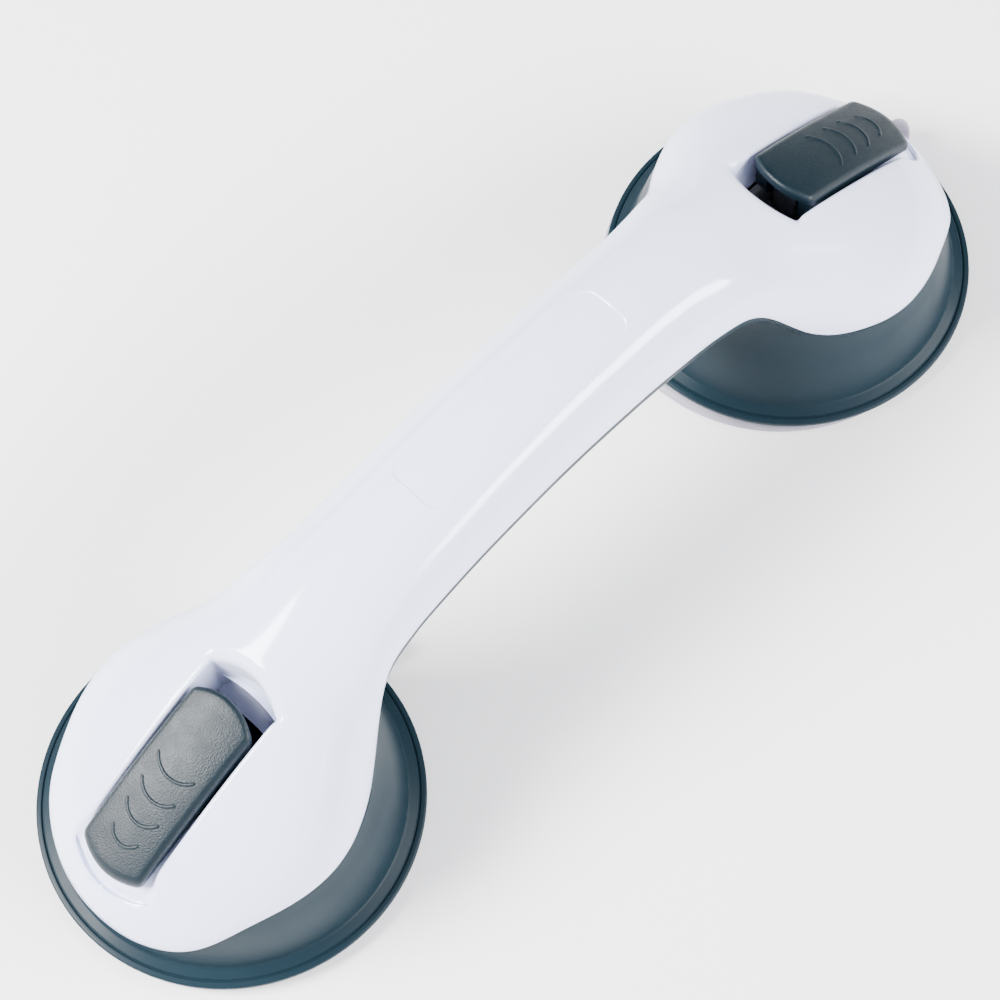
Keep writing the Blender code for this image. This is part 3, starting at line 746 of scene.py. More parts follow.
def rolled_edge(bm: bmesh.types.BMesh, ring: Sequence, towards: np.ndarray, slopes: np.ndarray,
                radii: np.ndarray, steps: int = 5, drops: np.ndarray | None = None,
                ease: np.ndarray | None = None) -> list:
    """Rolls a surface over its edge: in a quarter round to straight down, or in an S to level again.

    Args:
        bm: the mesh that gets the faces.
        ring: the vertices where the rounding starts.
        towards: for each, the level unit direction to the edge.
        slopes: for each, the surface's rise per length in that direction.
        radii: for each, the radius.
        steps: how many steps the rounding takes.
        drops: for each, how far it goes down, where that isn't the radius.
        ease: for each, 0 for the quarter round and 1 for the S.

    Returns:
        The last ring of vertices.
    """
    start = [v.co.copy() for v in ring]
    drops = radii if drops is None else drops
    ease = np.zeros(len(ring)) if ease is None else ease
    before = list(ring)
    for t in unit_steps(steps)[1:]:
        after = []
        quarter, wave = math.pi / 2 * t, (1 - math.cos(math.pi * t)) / 2
        for p, (dx, dy), slope, radius, drop, soft in zip(start, towards, slopes, radii, drops, ease):
            reach = radius * ((1 - soft) * math.sin(quarter) + soft * t)
            fall = drop * ((1 - soft) * (1 - math.cos(quarter)) + soft * wave)
            after.append(bm.verts.new((p.x + dx * reach, p.y + dy * reach, p.z + slope * reach - fall)))
        strip(bm, before, after, closed=True)
        before = after
    return before


# ---------------------------------------------------------------- shells


@dataclass
class UpperShell:
    """The white top shell: hoods, arch, label panel and the two lever wells. Sizes in millimetres."""

    arch: Arch
    pitch: float = 1.3
    wall: float = 2.0
    edge_roll: float = 0.45
    well_half: float = 10.65
    well_inner: float = 12.4
    well_outer: float = 34.4
    well_nose: float = 3.2
    well_corner: float = 1.1
    rim_crisp: float = 1.25
    rim_soft: float = 2.8
    rim_ramp: float = 3.2
    floor_from: float = 13.0
    floor_depth: float = 8.2
    floor_least: float = 1.5
    skirt_z: float = 36.5
    apron_reach: float = 14.6
    apron_waist: float = 1.6
    apron_bend: tuple[float, float] = (166.0, 217.0)
    apron_z: float = 42.7
    apron_thick: float = 1.4
    label_half: tuple[float, float] = (33.0, 7.4)
    label_corner: float = 3.0
    label_depth: float = 0.28
    label_edge: float = 0.3

    def well(self) -> Loop:
        """Plan of a lever well."""
        return nosed_outline(self.well_inner, self.well_outer, self.well_nose, self.well_nose, self.well_half,
                             self.well_corner)

    def surface(self, cup_side: int, plan: np.ndarray) -> np.ndarray:
        """Height of the top over (outwards, y) points of one cup."""
        return self.arch.top_z(cup_side * (self.arch.cup + plan[:, 0]), plan[:, 1])

    def rim_radii(self, plan: np.ndarray) -> np.ndarray:
        """Roll of the well's rim: broad at the inner end, tighter along the sides, broadest at the ramp."""
        inward = np.clip((-plan[:, 0] / MM - self.well_inner + 3) / 3, 0, 1)
        return (self.rim_crisp + (self.rim_soft - self.rim_crisp) * inward ** 2
                + (self.rim_ramp - self.rim_crisp) * self.ramp_share(plan)) * MM

    def ramp_share(self, plan: np.ndarray) -> np.ndarray:
        """How much the rim belongs to the ramp's soft end, from 0 to 1."""
        share = np.clip((plan[:, 0] / MM - self.well_outer + 6) / 6, 0, 1)
        return share * share * (3 - 2 * share)

    def floor_z(self, cup_side: int, plan: np.ndarray) -> np.ndarray:
        """Height of the well's floor, a ramp that runs out to the hood's surface."""
        far = (self.well_outer + self.well_nose) * MM
        share = np.clip((far - plan[:, 0]) / (far - self.floor_from * MM), 0, 1)
        return self.surface(cup_side, plan) - (self.floor_least + (self.floor_depth - self.floor_least)
                                               * share ** 1.35) * MM

    def label(self) -> tuple[Loop, Loop]:
        """The label panel's bottom edge and top edge, in plan from the middle of the handle."""
        half_x, half_y = self.label_half
        corners = [(half_x, -half_y), (half_x, half_y), (-half_x, half_y), (-half_x, -half_y)]
        inner = rounded_profile([(x, y, self.label_corner) for x, y in corners], 8)
        loop = Loop(densified(inner, self.pitch) * MM)
        return loop, Loop(loop.grown(self.label_edge * MM))

    def stations(self) -> np.ndarray:
        """Places along the bar where rows of points run across it."""
        pitch, arch = self.pitch * MM, self.arch
        straight = np.linspace(0, arch.cup, round(arch.cup / pitch) + 1)
        steps = round(math.pi / 2 * (arch.end - arch.cup) / pitch)
        nose = arch.cup + (arch.end - arch.cup) * np.sin(math.pi / 2 * unit_steps(steps)[1:])
        right = np.concatenate([straight, nose])
        return np.concatenate([-right[:0:-1], right])

    def flat_map(self, x: np.ndarray, y: np.ndarray) -> np.ndarray:
        """Lays plan points of the upper surface out flat, as (x, length from the ridge)."""
        return np.stack([x, (self.arch.share_at(x, y) - 0.5) * self.arch.girth(x)], -1)

    def build(self, finish: bpy.types.Material) -> bpy.types.Object:
        """Builds the shell.

        Args:
            finish: its material.

        Returns:
            The finished object.
        """
        arch = self.arch
        xs = self.stations()
        spots, edges = [], []
        lines = []
        for x in xs:
            girth = float(arch.girth(x))
            count = max(1, round(girth / (self.pitch * MM)))
            lines.append([(x, (t - 0.5) * girth) for t in unit_steps(count)] if girth > 1e-6 else [(x, 0.0)])
        wells = {side: self.well() for side in (-1, 1)}
        rings = {}
        for side, well in wells.items():
            plan = well.grown(self.rim_radii(well.points))
            rings[side] = plan * np.array([side, 1]) + np.array([side * arch.cup, 0])
        label_low, label_high = self.label()
        keep_out = [Loop(ring) for ring in rings.values()] + [label_low, label_high]
        first_row, last_row = [], []
        for line in lines:
            flat = np.array(line)
            share = flat[:, 1] / max(1e-9, float(arch.girth(flat[0, 0]))) + 0.5
            plan = arch.top_point(flat[:, 0], share)[:, :2]
            good = np.ones(len(flat), bool)
            for k, loop in enumerate(keep_out):
                good &= loop.clearance(plan) > 0.45 * self.pitch * MM
                if k < 2:
                    good &= ~loop.contains(plan)
            good[[0, -1]] = True
            first_row.append(len(spots))
            spots += [tuple(p) for p in flat[good]]
            last_row.append(len(spots) - 1)
        for row in (first_row, last_row):
            edges += [(a, b) for a, b in zip(row, row[1:]) if a != b]
        loops = {}
        for key, plan in (*rings.items(), ("low", label_low.points), ("high", label_high.points)):
            start = len(spots)
            spots += [tuple(p) for p in self.flat_map(plan[:, 0], plan[:, 1])]
            loops[key] = list(range(start, len(spots)))
            edges += [(start + i, start + (i + 1) % len(plan)) for i in range(len(plan))]
        verts, _, faces, origins, _, _ = delaunay_2d_cdt([Vector(p) for p in spots], edges, [], 0, 1e-7)
        flat = np.array([tuple(v) for v in verts])
        girth = np.maximum(arch.girth(flat[:, 0]), 1e-9)
        points = arch.top_point(flat[:, 0], np.clip(flat[:, 1] / girth + 0.5, 0, 1))
        sunk = label_low.contains(points[:, :2]) | (label_low.clearance(points[:, :2]) < 1e-5)
        points[sunk, 2] -= self.label_depth * MM
        found = {k: i for i, ids in enumerate(origins) for k in ids}
        bm = bmesh.new()
        made = [bm.verts.new(p) for p in points]
        middles = flat[np.array([f[:3] for f in faces])].mean(1)
        half_girths = np.interp(middles[:, 0], xs, arch.girth(xs) / 2)
        inside = np.abs(middles[:, 1]) < half_girths
        across = np.clip(middles[:, 1] / (2 * half_girths + 1e-12) + 0.5, 0, 1)
        plan = arch.top_point(middles[:, 0], across)[:, :2]
        for side in wells:
            inside &= ~Loop(rings[side]).contains(plan)
        for face, good in zip(faces, inside):
            if good:
                bm.faces.new([made[i] for i in face])
        for side, well in wells.items():
            self.add_well(bm, side, well, [made[found[i]] for i in loops[side]])
        self.roll_seam(bm, [made[found[i]] for i in first_row], [made[found[i]] for i in last_row])
        bmesh.ops.delete(bm, geom=[v for v in bm.verts if not v.link_faces], context="VERTS")
        bmesh.ops.remove_doubles(bm, verts=bm.verts, dist=1e-6)
        bmesh.ops.recalc_face_normals(bm, faces=bm.faces)
        bm.verts.ensure_lookup_table()
        top = max(bm.faces, key=lambda f: f.calc_center_median().z)
        if top.normal.z < 0:
            bmesh.ops.reverse_faces(bm, faces=bm.faces)
        bmesh.ops.translate(bm, verts=bm.verts, vec=(arch.middle, 0, 0))
        piece = piece_from("white_top_shell", bm, finish, 40)
        step = piece.modifiers.new("wall", "SOLIDIFY")
        step.thickness = self.wall * MM
        step.offset = -1
        step.use_even_offset = False
        settle_mesh(piece)
        self.add_aprons(piece)
        return piece

    def add_aprons(self, piece: bpy.types.Object) -> None:
        """Adds the curved apron behind each well's inner end, just outside the sweep of the lever's lip."""
        bm = bmesh.new()
        bm.from_mesh(piece.data)
        for side in (-1, 1):
            loops = []
            for t in np.linspace(-1, 1, 25):
                reach = self.apron_reach - self.apron_waist * t * t
                bend = np.radians(np.linspace(*self.apron_bend, 13))
                outs = np.concatenate([[-self.well_inner - self.well_nose - 0.9], reach * np.cos(bend)])
                ups = np.concatenate([[0], reach * np.sin(bend)])
                ups[0] = ups[1]
                row = list(zip(outs, ups))
                row += [(out - self.apron_thick, up - self.apron_thick * 0.6) for out, up in row[::-1]]
                loops.append([bm.verts.new((self.arch.middle + side * (self.arch.cup + out * MM),
                                            t * (self.well_half + 0.6) * MM, (self.apron_z + up) * MM))
                              for out, up in row])
            faces = set(bm.faces)
            for one, two in zip(loops, loops[1:]):
                strip(bm, one, two, closed=True)
            bm.faces.new(loops[0])
            bm.faces.new(loops[-1])
            bmesh.ops.recalc_face_normals(bm, faces=[f for f in bm.faces if f not in faces])
        bm.to_mesh(piece.data)
        bm.free()

    def roll_seam(self, bm: bmesh.types.BMesh, first: list, last: list) -> None:
        """Rolls the shell's lower edge under, where the lower shell meets it."""
        ring = first + last[-2:0:-1]
        count = len(ring)
        flat = np.array([v.co[:2] for v in ring])
        loop = Loop(flat)
        towards = -loop.normals if self.turns_left(flat) else loop.normals
        roll = self.edge_roll * MM
        start = [v.co.copy() for v in ring]
        before = ring
        for angle in math.pi / 2 * unit_steps(3)[1:]:
            after = []
            for k in range(count):
                inward = roll * (1 - math.cos(angle))
                after.append(bm.verts.new((start[k].x + towards[k][0] * inward,
                                           start[k].y + towards[k][1] * inward,
                                           start[k].z - roll * math.sin(angle))))
            strip(bm, before, after, closed=True)
            before = after

    @staticmethod
    def turns_left(flat: np.ndarray) -> bool:
        """Whether a loop runs anticlockwise."""
        after = np.roll(flat, -1, 0)
        return bool(np.sum(flat[:, 0] * after[:, 1] - flat[:, 1] * after[:, 0]) > 0)

    def add_well(self, bm: bmesh.types.BMesh, side: int, well: Loop, ring: list) -> None:
        """Adds a lever well's rolled rim, walls and ramp floor.

        Args:
            bm: the shell's mesh.
            side: the cup's sign.
            well: the well's plan.
            ring: the surface's vertices around it, where the rim's rounding starts.
        """
        plan = well.points
        radii = self.rim_radii(plan)
        out = well.normals
        ahead = plan + out * 0.2 * MM
        slopes = (self.surface(side, plan) - self.surface(side, ahead)) / (0.2 * MM)
        towards = -out * np.array([side, 1])
        floor = self.floor_z(side, plan)
        ease = self.ramp_share(plan)
        depth = np.minimum(self.surface(side, plan) - floor, self.floor_depth * MM)
        edge = rolled_edge(bm, ring, towards, slopes, radii, 8, radii + (depth - radii) * ease, ease)
        start = self.floor_from * MM
        has_floor = plan[:, 0] >= start - 1e-6
        level = float(self.floor_z(side, np.array([[start, 0.0]]))[0])
        bottoms = np.where(has_floor, np.minimum(floor, [v.co.z - 0.05 * MM for v in edge]), level)
        rows = [edge]
        for share in unit_steps(3)[1:]:
            rows.append([bm.verts.new((v.co.x, v.co.y, v.co.z + (bottom - v.co.z) * share))
                         for v, bottom in zip(edge, bottoms)])
            strip(bm, rows[-2], rows[-1], closed=True)
        base = rows[-1]
        skirt = {i: bm.verts.new((v.co.x, v.co.y, self.skirt_z * MM))
                 for i, v in enumerate(base) if not has_floor[i] or plan[i, 0] < start + 0.9 * MM}
        count = len(base)
        for i in range(count):
            j = (i + 1) % count
            if i in skirt and j in skirt and not (has_floor[i] and has_floor[j]):
                bm.faces.new([base[i], base[j], skirt[j], skirt[i]])
        self.add_floor(bm, side, plan, base, has_floor, skirt)

    def add_floor(self, bm: bmesh.types.BMesh, side: int, plan: np.ndarray, base: list, has_floor: np.ndarray,
                  skirt: dict) -> None:
        """Fills the well's floor across, and closes its front edge down to the skirt."""
        ids = [i for i in range(len(base)) if has_floor[i]]
        gap = next((k for k in range(1, len(ids)) if ids[k] != ids[k - 1] + 1), 0)
        ids = ids[gap:] + ids[:gap]
        half = (len(ids) - 1) // 2
        lower, upper = ids[:half], ids[:-half - 1:-1]
        tip = ids[half:-half]
        rows = []
        for a, b in zip(lower, upper):
            steps = 14
            low, high = plan[a], plan[b]
            row = [base[a]]
            for t in unit_steps(steps)[1:-1]:
                spot = low + (high - low) * t
                z = float(self.floor_z(side, spot[None])[0])
                cx = side * (self.arch.cup + spot[0])
                row.append(bm.verts.new((cx, spot[1], z)))
            row.append(base[b])
            rows.append(row)
        for one, two in zip(rows, rows[1:]):
            strip(bm, one, two)
        bm.faces.new([*rows[-1], *(base[i] for i in reversed(tip))])
        front = rows[0]
        foot = [skirt.get(lower[0]) or bm.verts.new((*front[0].co[:2], self.skirt_z * MM))]
        foot += [bm.verts.new((*v.co[:2], self.skirt_z * MM)) for v in front[1:-1]]
        foot.append(skirt.get(upper[0]) or bm.verts.new((*front[-1].co[:2], self.skirt_z * MM)))
        strip(bm, front, foot)


@dataclass
class LowerShell:
    """The dark bottom shell: the handle's underside, two bells, decks and cam towers. In millimetres."""

    arch: Arch
    gap: float = 0.75
    wall: float = 2.2
    roll: float = 0.35
    trough_end: float = 76.0
    trough_square: float = 0.75
    room_radius: float = 36.4
    hidden_top: float = 47.5
    columns: int = 168
    flange: Sequence[tuple[float, float, float]] = (
        (43.0, 2.9, 0.2), (48.0, 2.9, 0.5), (48.0, 4.5, 0.55), (46.6, 4.9, 0.2), (46.45, 4.65, 0.15),
        (46.15, 4.65, 0.15), (46.0, 5.1, 0.2), (43.6, 6.1, 0.8))
    outside: Sequence[tuple[float, float]] = (
        (6.4, 43.35), (10, 42.5), (15, 41.3), (20, 40.0), (25, 38.5), (30, 37.3), (36, 36.4), (48, 35.6))
    deck_top: float = 22.0
    deck_thick: float = 2.2
    deck_radius: float = 38.3
    tower_top: float = 34.7
    cup_screw_y: float = 24.0
    handle_screw_x: float = 36.0
    boss_radius: float = 4.9
    sink_radius: float = 3.4
    pilot_radius: float = 1.7
    boss_height: float = 8.5
    screw_seat: float = 2.0

    def trough_section(self, x: float, inset: float, steps: int = 40) -> np.ndarray:
        """Half a loop of points across the handle's underside at one place along it."""
        arch = self.arch
        wide = float(arch.half_width(x)) - (0.2 + inset) * MM
        high = float(arch.seam_z(x)) - self.gap * MM
        low = min(float(arch.under_z(x)), high - self.arch.trough_least * MM) + inset * MM
        angle = math.pi * unit_steps(steps)
        return np.stack([np.full(steps + 1, x), -wide * np.cos(angle),
                         high - (high - low) * np.sin(angle) ** self.trough_square], -1)

    def make_trough(self, finish: bpy.types.Material) -> bpy.types.Object:
        """Makes the handle's underside, a curved trough that is open on top."""
        places = self.trough_end * MM * np.linspace(-1, 1, 117)
        bm = bmesh.new()
        loops = []
        for x in places:
            outer, inner = self.trough_section(x, 0), self.trough_section(x, self.wall)
            lips = [[p[0], p[1] * (1 - 0.35 * MM / abs(p[1])), p[2] + 0.3 * MM]
                    for p in (outer[-1], outer[0])]
            row = [*outer, lips[0], *inner[::-1], lips[1]]
            loops.append([bm.verts.new(p) for p in row])
        for one, two in zip(loops, loops[1:]):
            strip(bm, one, two, closed=True)
        half = len(self.trough_section(0, 0))
        for loop in (loops[0], loops[-1]):
            outer, inner = loop[:half], loop[half + 1:-1][::-1]
            strip(bm, outer, inner)
            bm.faces.new([outer[-1], loop[half], inner[-1]])
            bm.faces.new([outer[0], inner[0], loop[-1]])
        outward(bm)
        bmesh.ops.translate(bm, verts=bm.verts, vec=(self.arch.middle, 0, 0))
        return piece_from("trough", bm, finish)

    def make_bell(self, side: int, finish: bpy.types.Material) -> bpy.types.Object:
        """Makes one bell with its flange, cut along the parting line."""
        arch = self.arch
        radius_at = SmoothLine([(z - self.outside[0][0], r) for z, r in self.outside], 1.2)
        flange = rounded_profile([*self.flange, (self.outside[0][1], 7.2, 0.0), (40.0, 7.2, 0.0)], 4)
        flange = [p for p in flange if p[1] <= 6.6 or p[0] > 43.0][:-1]
        start = self.outside[0][0]
        bm = bmesh.new()
        loops = []
        for angle in 2 * math.pi * unit_steps(self.columns)[:-1]:
            out, across = math.cos(angle), math.sin(angle)
            top = self.hidden_top
            for _ in range(3):
                radius = float(radius_at((top - start) * MM))
                top = min(self.hidden_top, float(arch.seam_z(arch.cup + radius * out)) / MM - self.gap)
            heights = start + 0.9 + (top - self.roll - start - 0.9) * unit_steps(16)
            outer = [(float(radius_at((z - start) * MM)) / MM, z) for z in heights]
            edge = outer[-1][0]
            lips = [(edge - self.roll * (1 - math.cos(t)), top - self.roll * (1 - math.sin(t)))
                    for t in math.pi / 2 * unit_steps(3)[1:]]
            tongue = [(edge - 0.9, top), (edge - 0.9, top + 0.9), (edge - self.wall, top + 0.9)]
            inner = [(r - self.wall, z) for r, z in outer[::-4]]
            column = [*flange, *outer, *lips, *tongue, *inner, (40.2, 5.5)]
            loops.append([bm.verts.new((arch.middle + side * (arch.cup + r * MM * out),
                                        r * MM * across, z * MM)) for r, z in column])
        for one, two in zip(loops, loops[1:] + loops[:1]):
            strip(bm, one, two, closed=True)
        outward(bm)
        return piece_from("bell", bm, finish)

    def make_deck(self, cup: Cup, finish: bpy.types.Material) -> bpy.types.Object:
        """Makes the deck across a bell, with the tower that the cam's plate lies on."""
        centre = (cup.axis_x, 0.0)
        low, high = (self.deck_top - self.deck_thick) * MM, self.deck_top * MM
        radius = self.deck_radius * MM
        deck = turned("deck", [(0, low), (radius, low), (radius, high), (0, high)], finish, centre)
        combine(deck, prism("tower", tower_plan(cup, 4), low + MM, self.tower_top * MM, finish), "UNION")
        self.drill(deck, PLUNGER_BORE, 10, 50, centre)
        for y in (self.cup_screw_y, -self.cup_screw_y):
            self.drill(deck, self.pilot_radius, 15, 25, (centre[0], y * MM))
        return deck

    def drill(self, piece: bpy.types.Object, radius: float, low: float, high: float,
              centre: tuple[float, float]) -> None:
        """Cuts an upright round hole; radius and heights in millimetres."""
        profile = [(0, low * MM), (radius * MM, low * MM), (radius * MM, high * MM), (0, high * MM)]
        combine(piece, turned("drill", profile, piece.data.materials[0], centre, 48), "DIFFERENCE")

    def build(self, cups: Sequence[Cup], finish: bpy.types.Material) -> bpy.types.Object:
        """Builds the shell.

        Args:
            cups: both cups.
            finish: the shell's material.

        Returns:
            The finished object.
        """
        shell = self.make_trough(finish)
        shell.name = "dark_bottom_shell"
        for cup in cups:
            self.drill(shell, self.room_radius, 0, 80, (cup.axis_x, 0.0))
        for cup in cups:
            combine(shell, self.make_bell(cup.side.value, finish), "UNION")
            combine(shell, self.make_deck(cup, finish), "UNION")
        for cup in cups:
            centre = (self.arch.middle + cup.side.value * self.handle_screw_x * MM, 0.0)
            foot = float(self.arch.under_z(self.handle_screw_x * MM)) / MM
            top = foot + self.boss_height
            profile = [(0, (foot + 1) * MM), (self.boss_radius * MM, (foot + 1) * MM),
                       (self.boss_radius * MM, top * MM), (0, top * MM)]
            combine(shell, turned("boss", profile, finish, centre, 48), "UNION")
            self.drill(shell, self.sink_radius, foot - 10, top - self.screw_seat, centre)
            self.drill(shell, self.pilot_radius, foot, foot + 20, centre)
        smooth_below(shell, 32)
        return shell


# ---------------------------------------------------------------- lever, pin, plunger and plate


@dataclass
class FlipLever:
    """A flip lever: a pillowed cover, hollow below, and two cheeks with cams. In millimetres."""

    half: float = 9.75
    inner: float = 5.4
    outer: float = 34.0
    nose: float = 3.1
    corner: float = 2.1
    roll: float = 1.6
    top_line: tuple[float, float] = (54.1, 34.1)
    bulge: float = 1.25
    crown: float = 0.9
    wall: float = 1.4
    pitch: float = 0.9
    depths: Sequence[tuple[float, float]] = (
        (-9.0, 3.1), (-5.0, 3.2), (-2.5, 5.0), (0.0, 6.2), (12.0, 5.0), (33.0, 3.1), (37.0, 2.4))
    cheek: tuple[float, float] = (5.2, 8.75)
    cam_high: float = 8.25
    cam_low: float = 5.05
    swing: float = 90.0

    def top_z(self, out: np.ndarray, y: np.ndarray) -> np.ndarray:
        """Height of the top over a point, in metres."""
        share = (out / MM + self.inner) / (self.outer + self.inner)
        chord = self.top_line[0] + (self.top_line[1] - self.top_line[0]) * share
        pillow = 1 - (y / MM / self.half) ** 2
        return (chord + 4 * self.bulge * share * (1 - share) + self.crown * pillow) * MM

    def build(self, cup: Cup, finish: bpy.types.Material) -> bpy.types.Object:
        """Builds a lever.

        Args:
            cup: the cup that it locks.
            finish: its material.

        Returns:
            The finished object.
        """
        plan = nosed_outline(self.inner, self.outer, self.nose, self.nose, self.half, self.corner, self.pitch)
        inset = plan.grown(-self.roll * MM)
        inside = Loop(inset)
        xs = np.arange(-self.inner - self.nose, self.outer + self.nose, self.pitch) * MM
        ys = np.arange(-self.half, self.half + 0.1, self.pitch) * MM
        grid = np.stack(np.meshgrid(xs, ys), -1).reshape(-1, 2)
        grid = grid[inside.contains(grid) & (inside.clearance(grid) > 0.5 * self.pitch * MM)]
        spots = np.concatenate([inset, grid])
        count = len(inset)
        edges = [(i, (i + 1) % count) for i in range(count)]
        verts, _, faces, origins, _, _ = delaunay_2d_cdt([Vector(p) for p in spots], edges, [], 1, 1e-7)
        found = {k: i for i, ids in enumerate(origins) for k in ids}
        bm = bmesh.new()
        flat = np.array([tuple(v) for v in verts])
        heights = self.top_z(flat[:, 0], flat[:, 1])
        made = [bm.verts.new(cup.spot(u, y, z)) for (u, y), z in zip(flat, heights)]
        for face in faces:
            bm.faces.new([made[i] for i in face])
        normals = plan.normals
        ahead = inset + normals * 0.1 * MM
        slopes = (self.top_z(ahead[:, 0], ahead[:, 1]) - self.top_z(inset[:, 0], inset[:, 1])) / (0.1 * MM)
        towards = normals * np.array([cup.side.value, 1])
        edge = rolled_edge(bm, [made[found[i]] for i in range(count)], towards, slopes,
                           np.full(count, self.roll * MM), 6)
        depths = np.interp(plan.points[:, 0] / MM, *zip(*self.depths)) * MM
        tops = self.top_z(plan.points[:, 0], plan.points[:, 1])
        before = edge
        for share in unit_steps(3)[1:]:
            after = [bm.verts.new((v.co.x, v.co.y, v.co.z + (top - depth - v.co.z) * share))
                     for v, top, depth in zip(edge, tops, depths)]
            strip(bm, before, after, closed=True)
            before = after
        bmesh.ops.delete(bm, geom=[v for v in bm.verts if not v.link_faces], context="VERTS")
        bmesh.ops.recalc_face_normals(bm, faces=bm.faces)
        bm.faces.ensure_lookup_table()
        if bm.faces[0].normal.z < 0:
            bmesh.ops.reverse_faces(bm, faces=bm.faces)
        lever = piece_from(f"flip_lever_{cup.side.letter}", bm, finish, 40)
        step = lever.modifiers.new("wall", "SOLIDIFY")
        step.thickness = self.wall * MM
        step.offset = -1
        settle_mesh(lever)
        for hand in (-1, 1):
            low, high = sorted(hand * v * MM for v in self.cheek)
            combine(lever, prism("cheek", self.cheek_outline(cup), low, high, finish, across=True), "UNION")
        bore_across(lever, cup)
        smooth_below(lever, 38)
        return lever

    def cheek_outline(self, cup: Cup) -> list[tuple[float, float]]:
        """Side outline of a cheek; its cam is an involute, so the plunger moves in step with the turn."""
        swing = math.radians(self.swing)
        rate = (self.cam_low - self.cam_high) / swing
        points = []
        for turn in swing * unit_steps(24):
            reach = self.cam_high + rate * turn
            points.append((-reach * math.sin(turn) - rate * math.cos(turn),
                           cup.pin_z / MM - reach * math.cos(turn) + rate * math.sin(turn)))
        under = self.wall * 0.6
        edge = np.array(self.cheek[1] * MM)
        for out in (points[-1][0], 0.0, 6.0, 11.5):
            points.append((out, float(self.top_z(np.array(out * MM), edge)) / MM - under))
        points += [(8.8, cup.pin_z / MM - 3.5), (5.8, cup.pin_z / MM - self.cam_high + 2)]
        return [(cup.axis_x + cup.side.value * out * MM, z * MM) for out, z in points]


@dataclass
class LeverMarks:
    """Four raised arcs on a lever, which shrink towards its lifting end. In millimetres."""

    lever: FlipLever
    bead: float = 0.64
    proud: float = 0.2
    arcs: Sequence[tuple[float, float, float]] = (
        (9.9, 6.1, 3.1), (16.2, 5.6, 2.9), (21.7, 5.3, 3.1), (27.9, 4.2, 2.6))

    def build(self, cup: Cup, finish: bpy.types.Material, sweep: bpy.types.NodeTree) -> bpy.types.Object:
        """Lays the arcs' lines on the lever's top and sweeps a round bead along them.

        Args:
            cup: the cup that the lever belongs to.
            finish: the arcs' material.
            sweep: the node group that sweeps a bead.

        Returns:
            The finished object.
        """
        bm = bmesh.new()
        for tips, half_chord, rise in self.arcs:
            radius = half_chord ** 2 / (2 * rise) + rise / 2
            reach = math.asin(min(1, half_chord / radius))
            before = None
            for angle in reach * np.linspace(-1, 1, 25):
                out = (tips + rise - radius + radius * math.cos(angle)) * MM
                y = radius * math.sin(angle) * MM
                z = float(self.lever.top_z(np.array(out), np.array(y))) - (self.bead - self.proud) * MM
                vert = bm.verts.new(cup.spot(out, y, z))
                if before:
                    bm.edges.new((before, vert))
                before = vert
        marks = piece_from(f"lever_arcs_{cup.side.letter}", bm, finish)
        run_nodes(marks, sweep, {"Bead radius": self.bead * MM, "Material": finish})
        return marks


def run_nodes(piece: bpy.types.Object, tree: bpy.types.NodeTree, values: dict) -> None:
    """Runs a geometry node group on a piece and keeps its result as a plain mesh.

    Args:
        piece: the object.
        tree: the node group.
        values: input name to value.
    """
    step = piece.modifiers.new(tree.name, "NODES")
    step.node_group = tree
    sockets = {item.name: item.identifier for item in tree.interface.items_tree if item.in_out == "INPUT"}
    for name, value in values.items():
        step[sockets[name]] = value
    settle_mesh(piece)
    piece.data.set_sharp_from_angle(angle=math.radians(40))


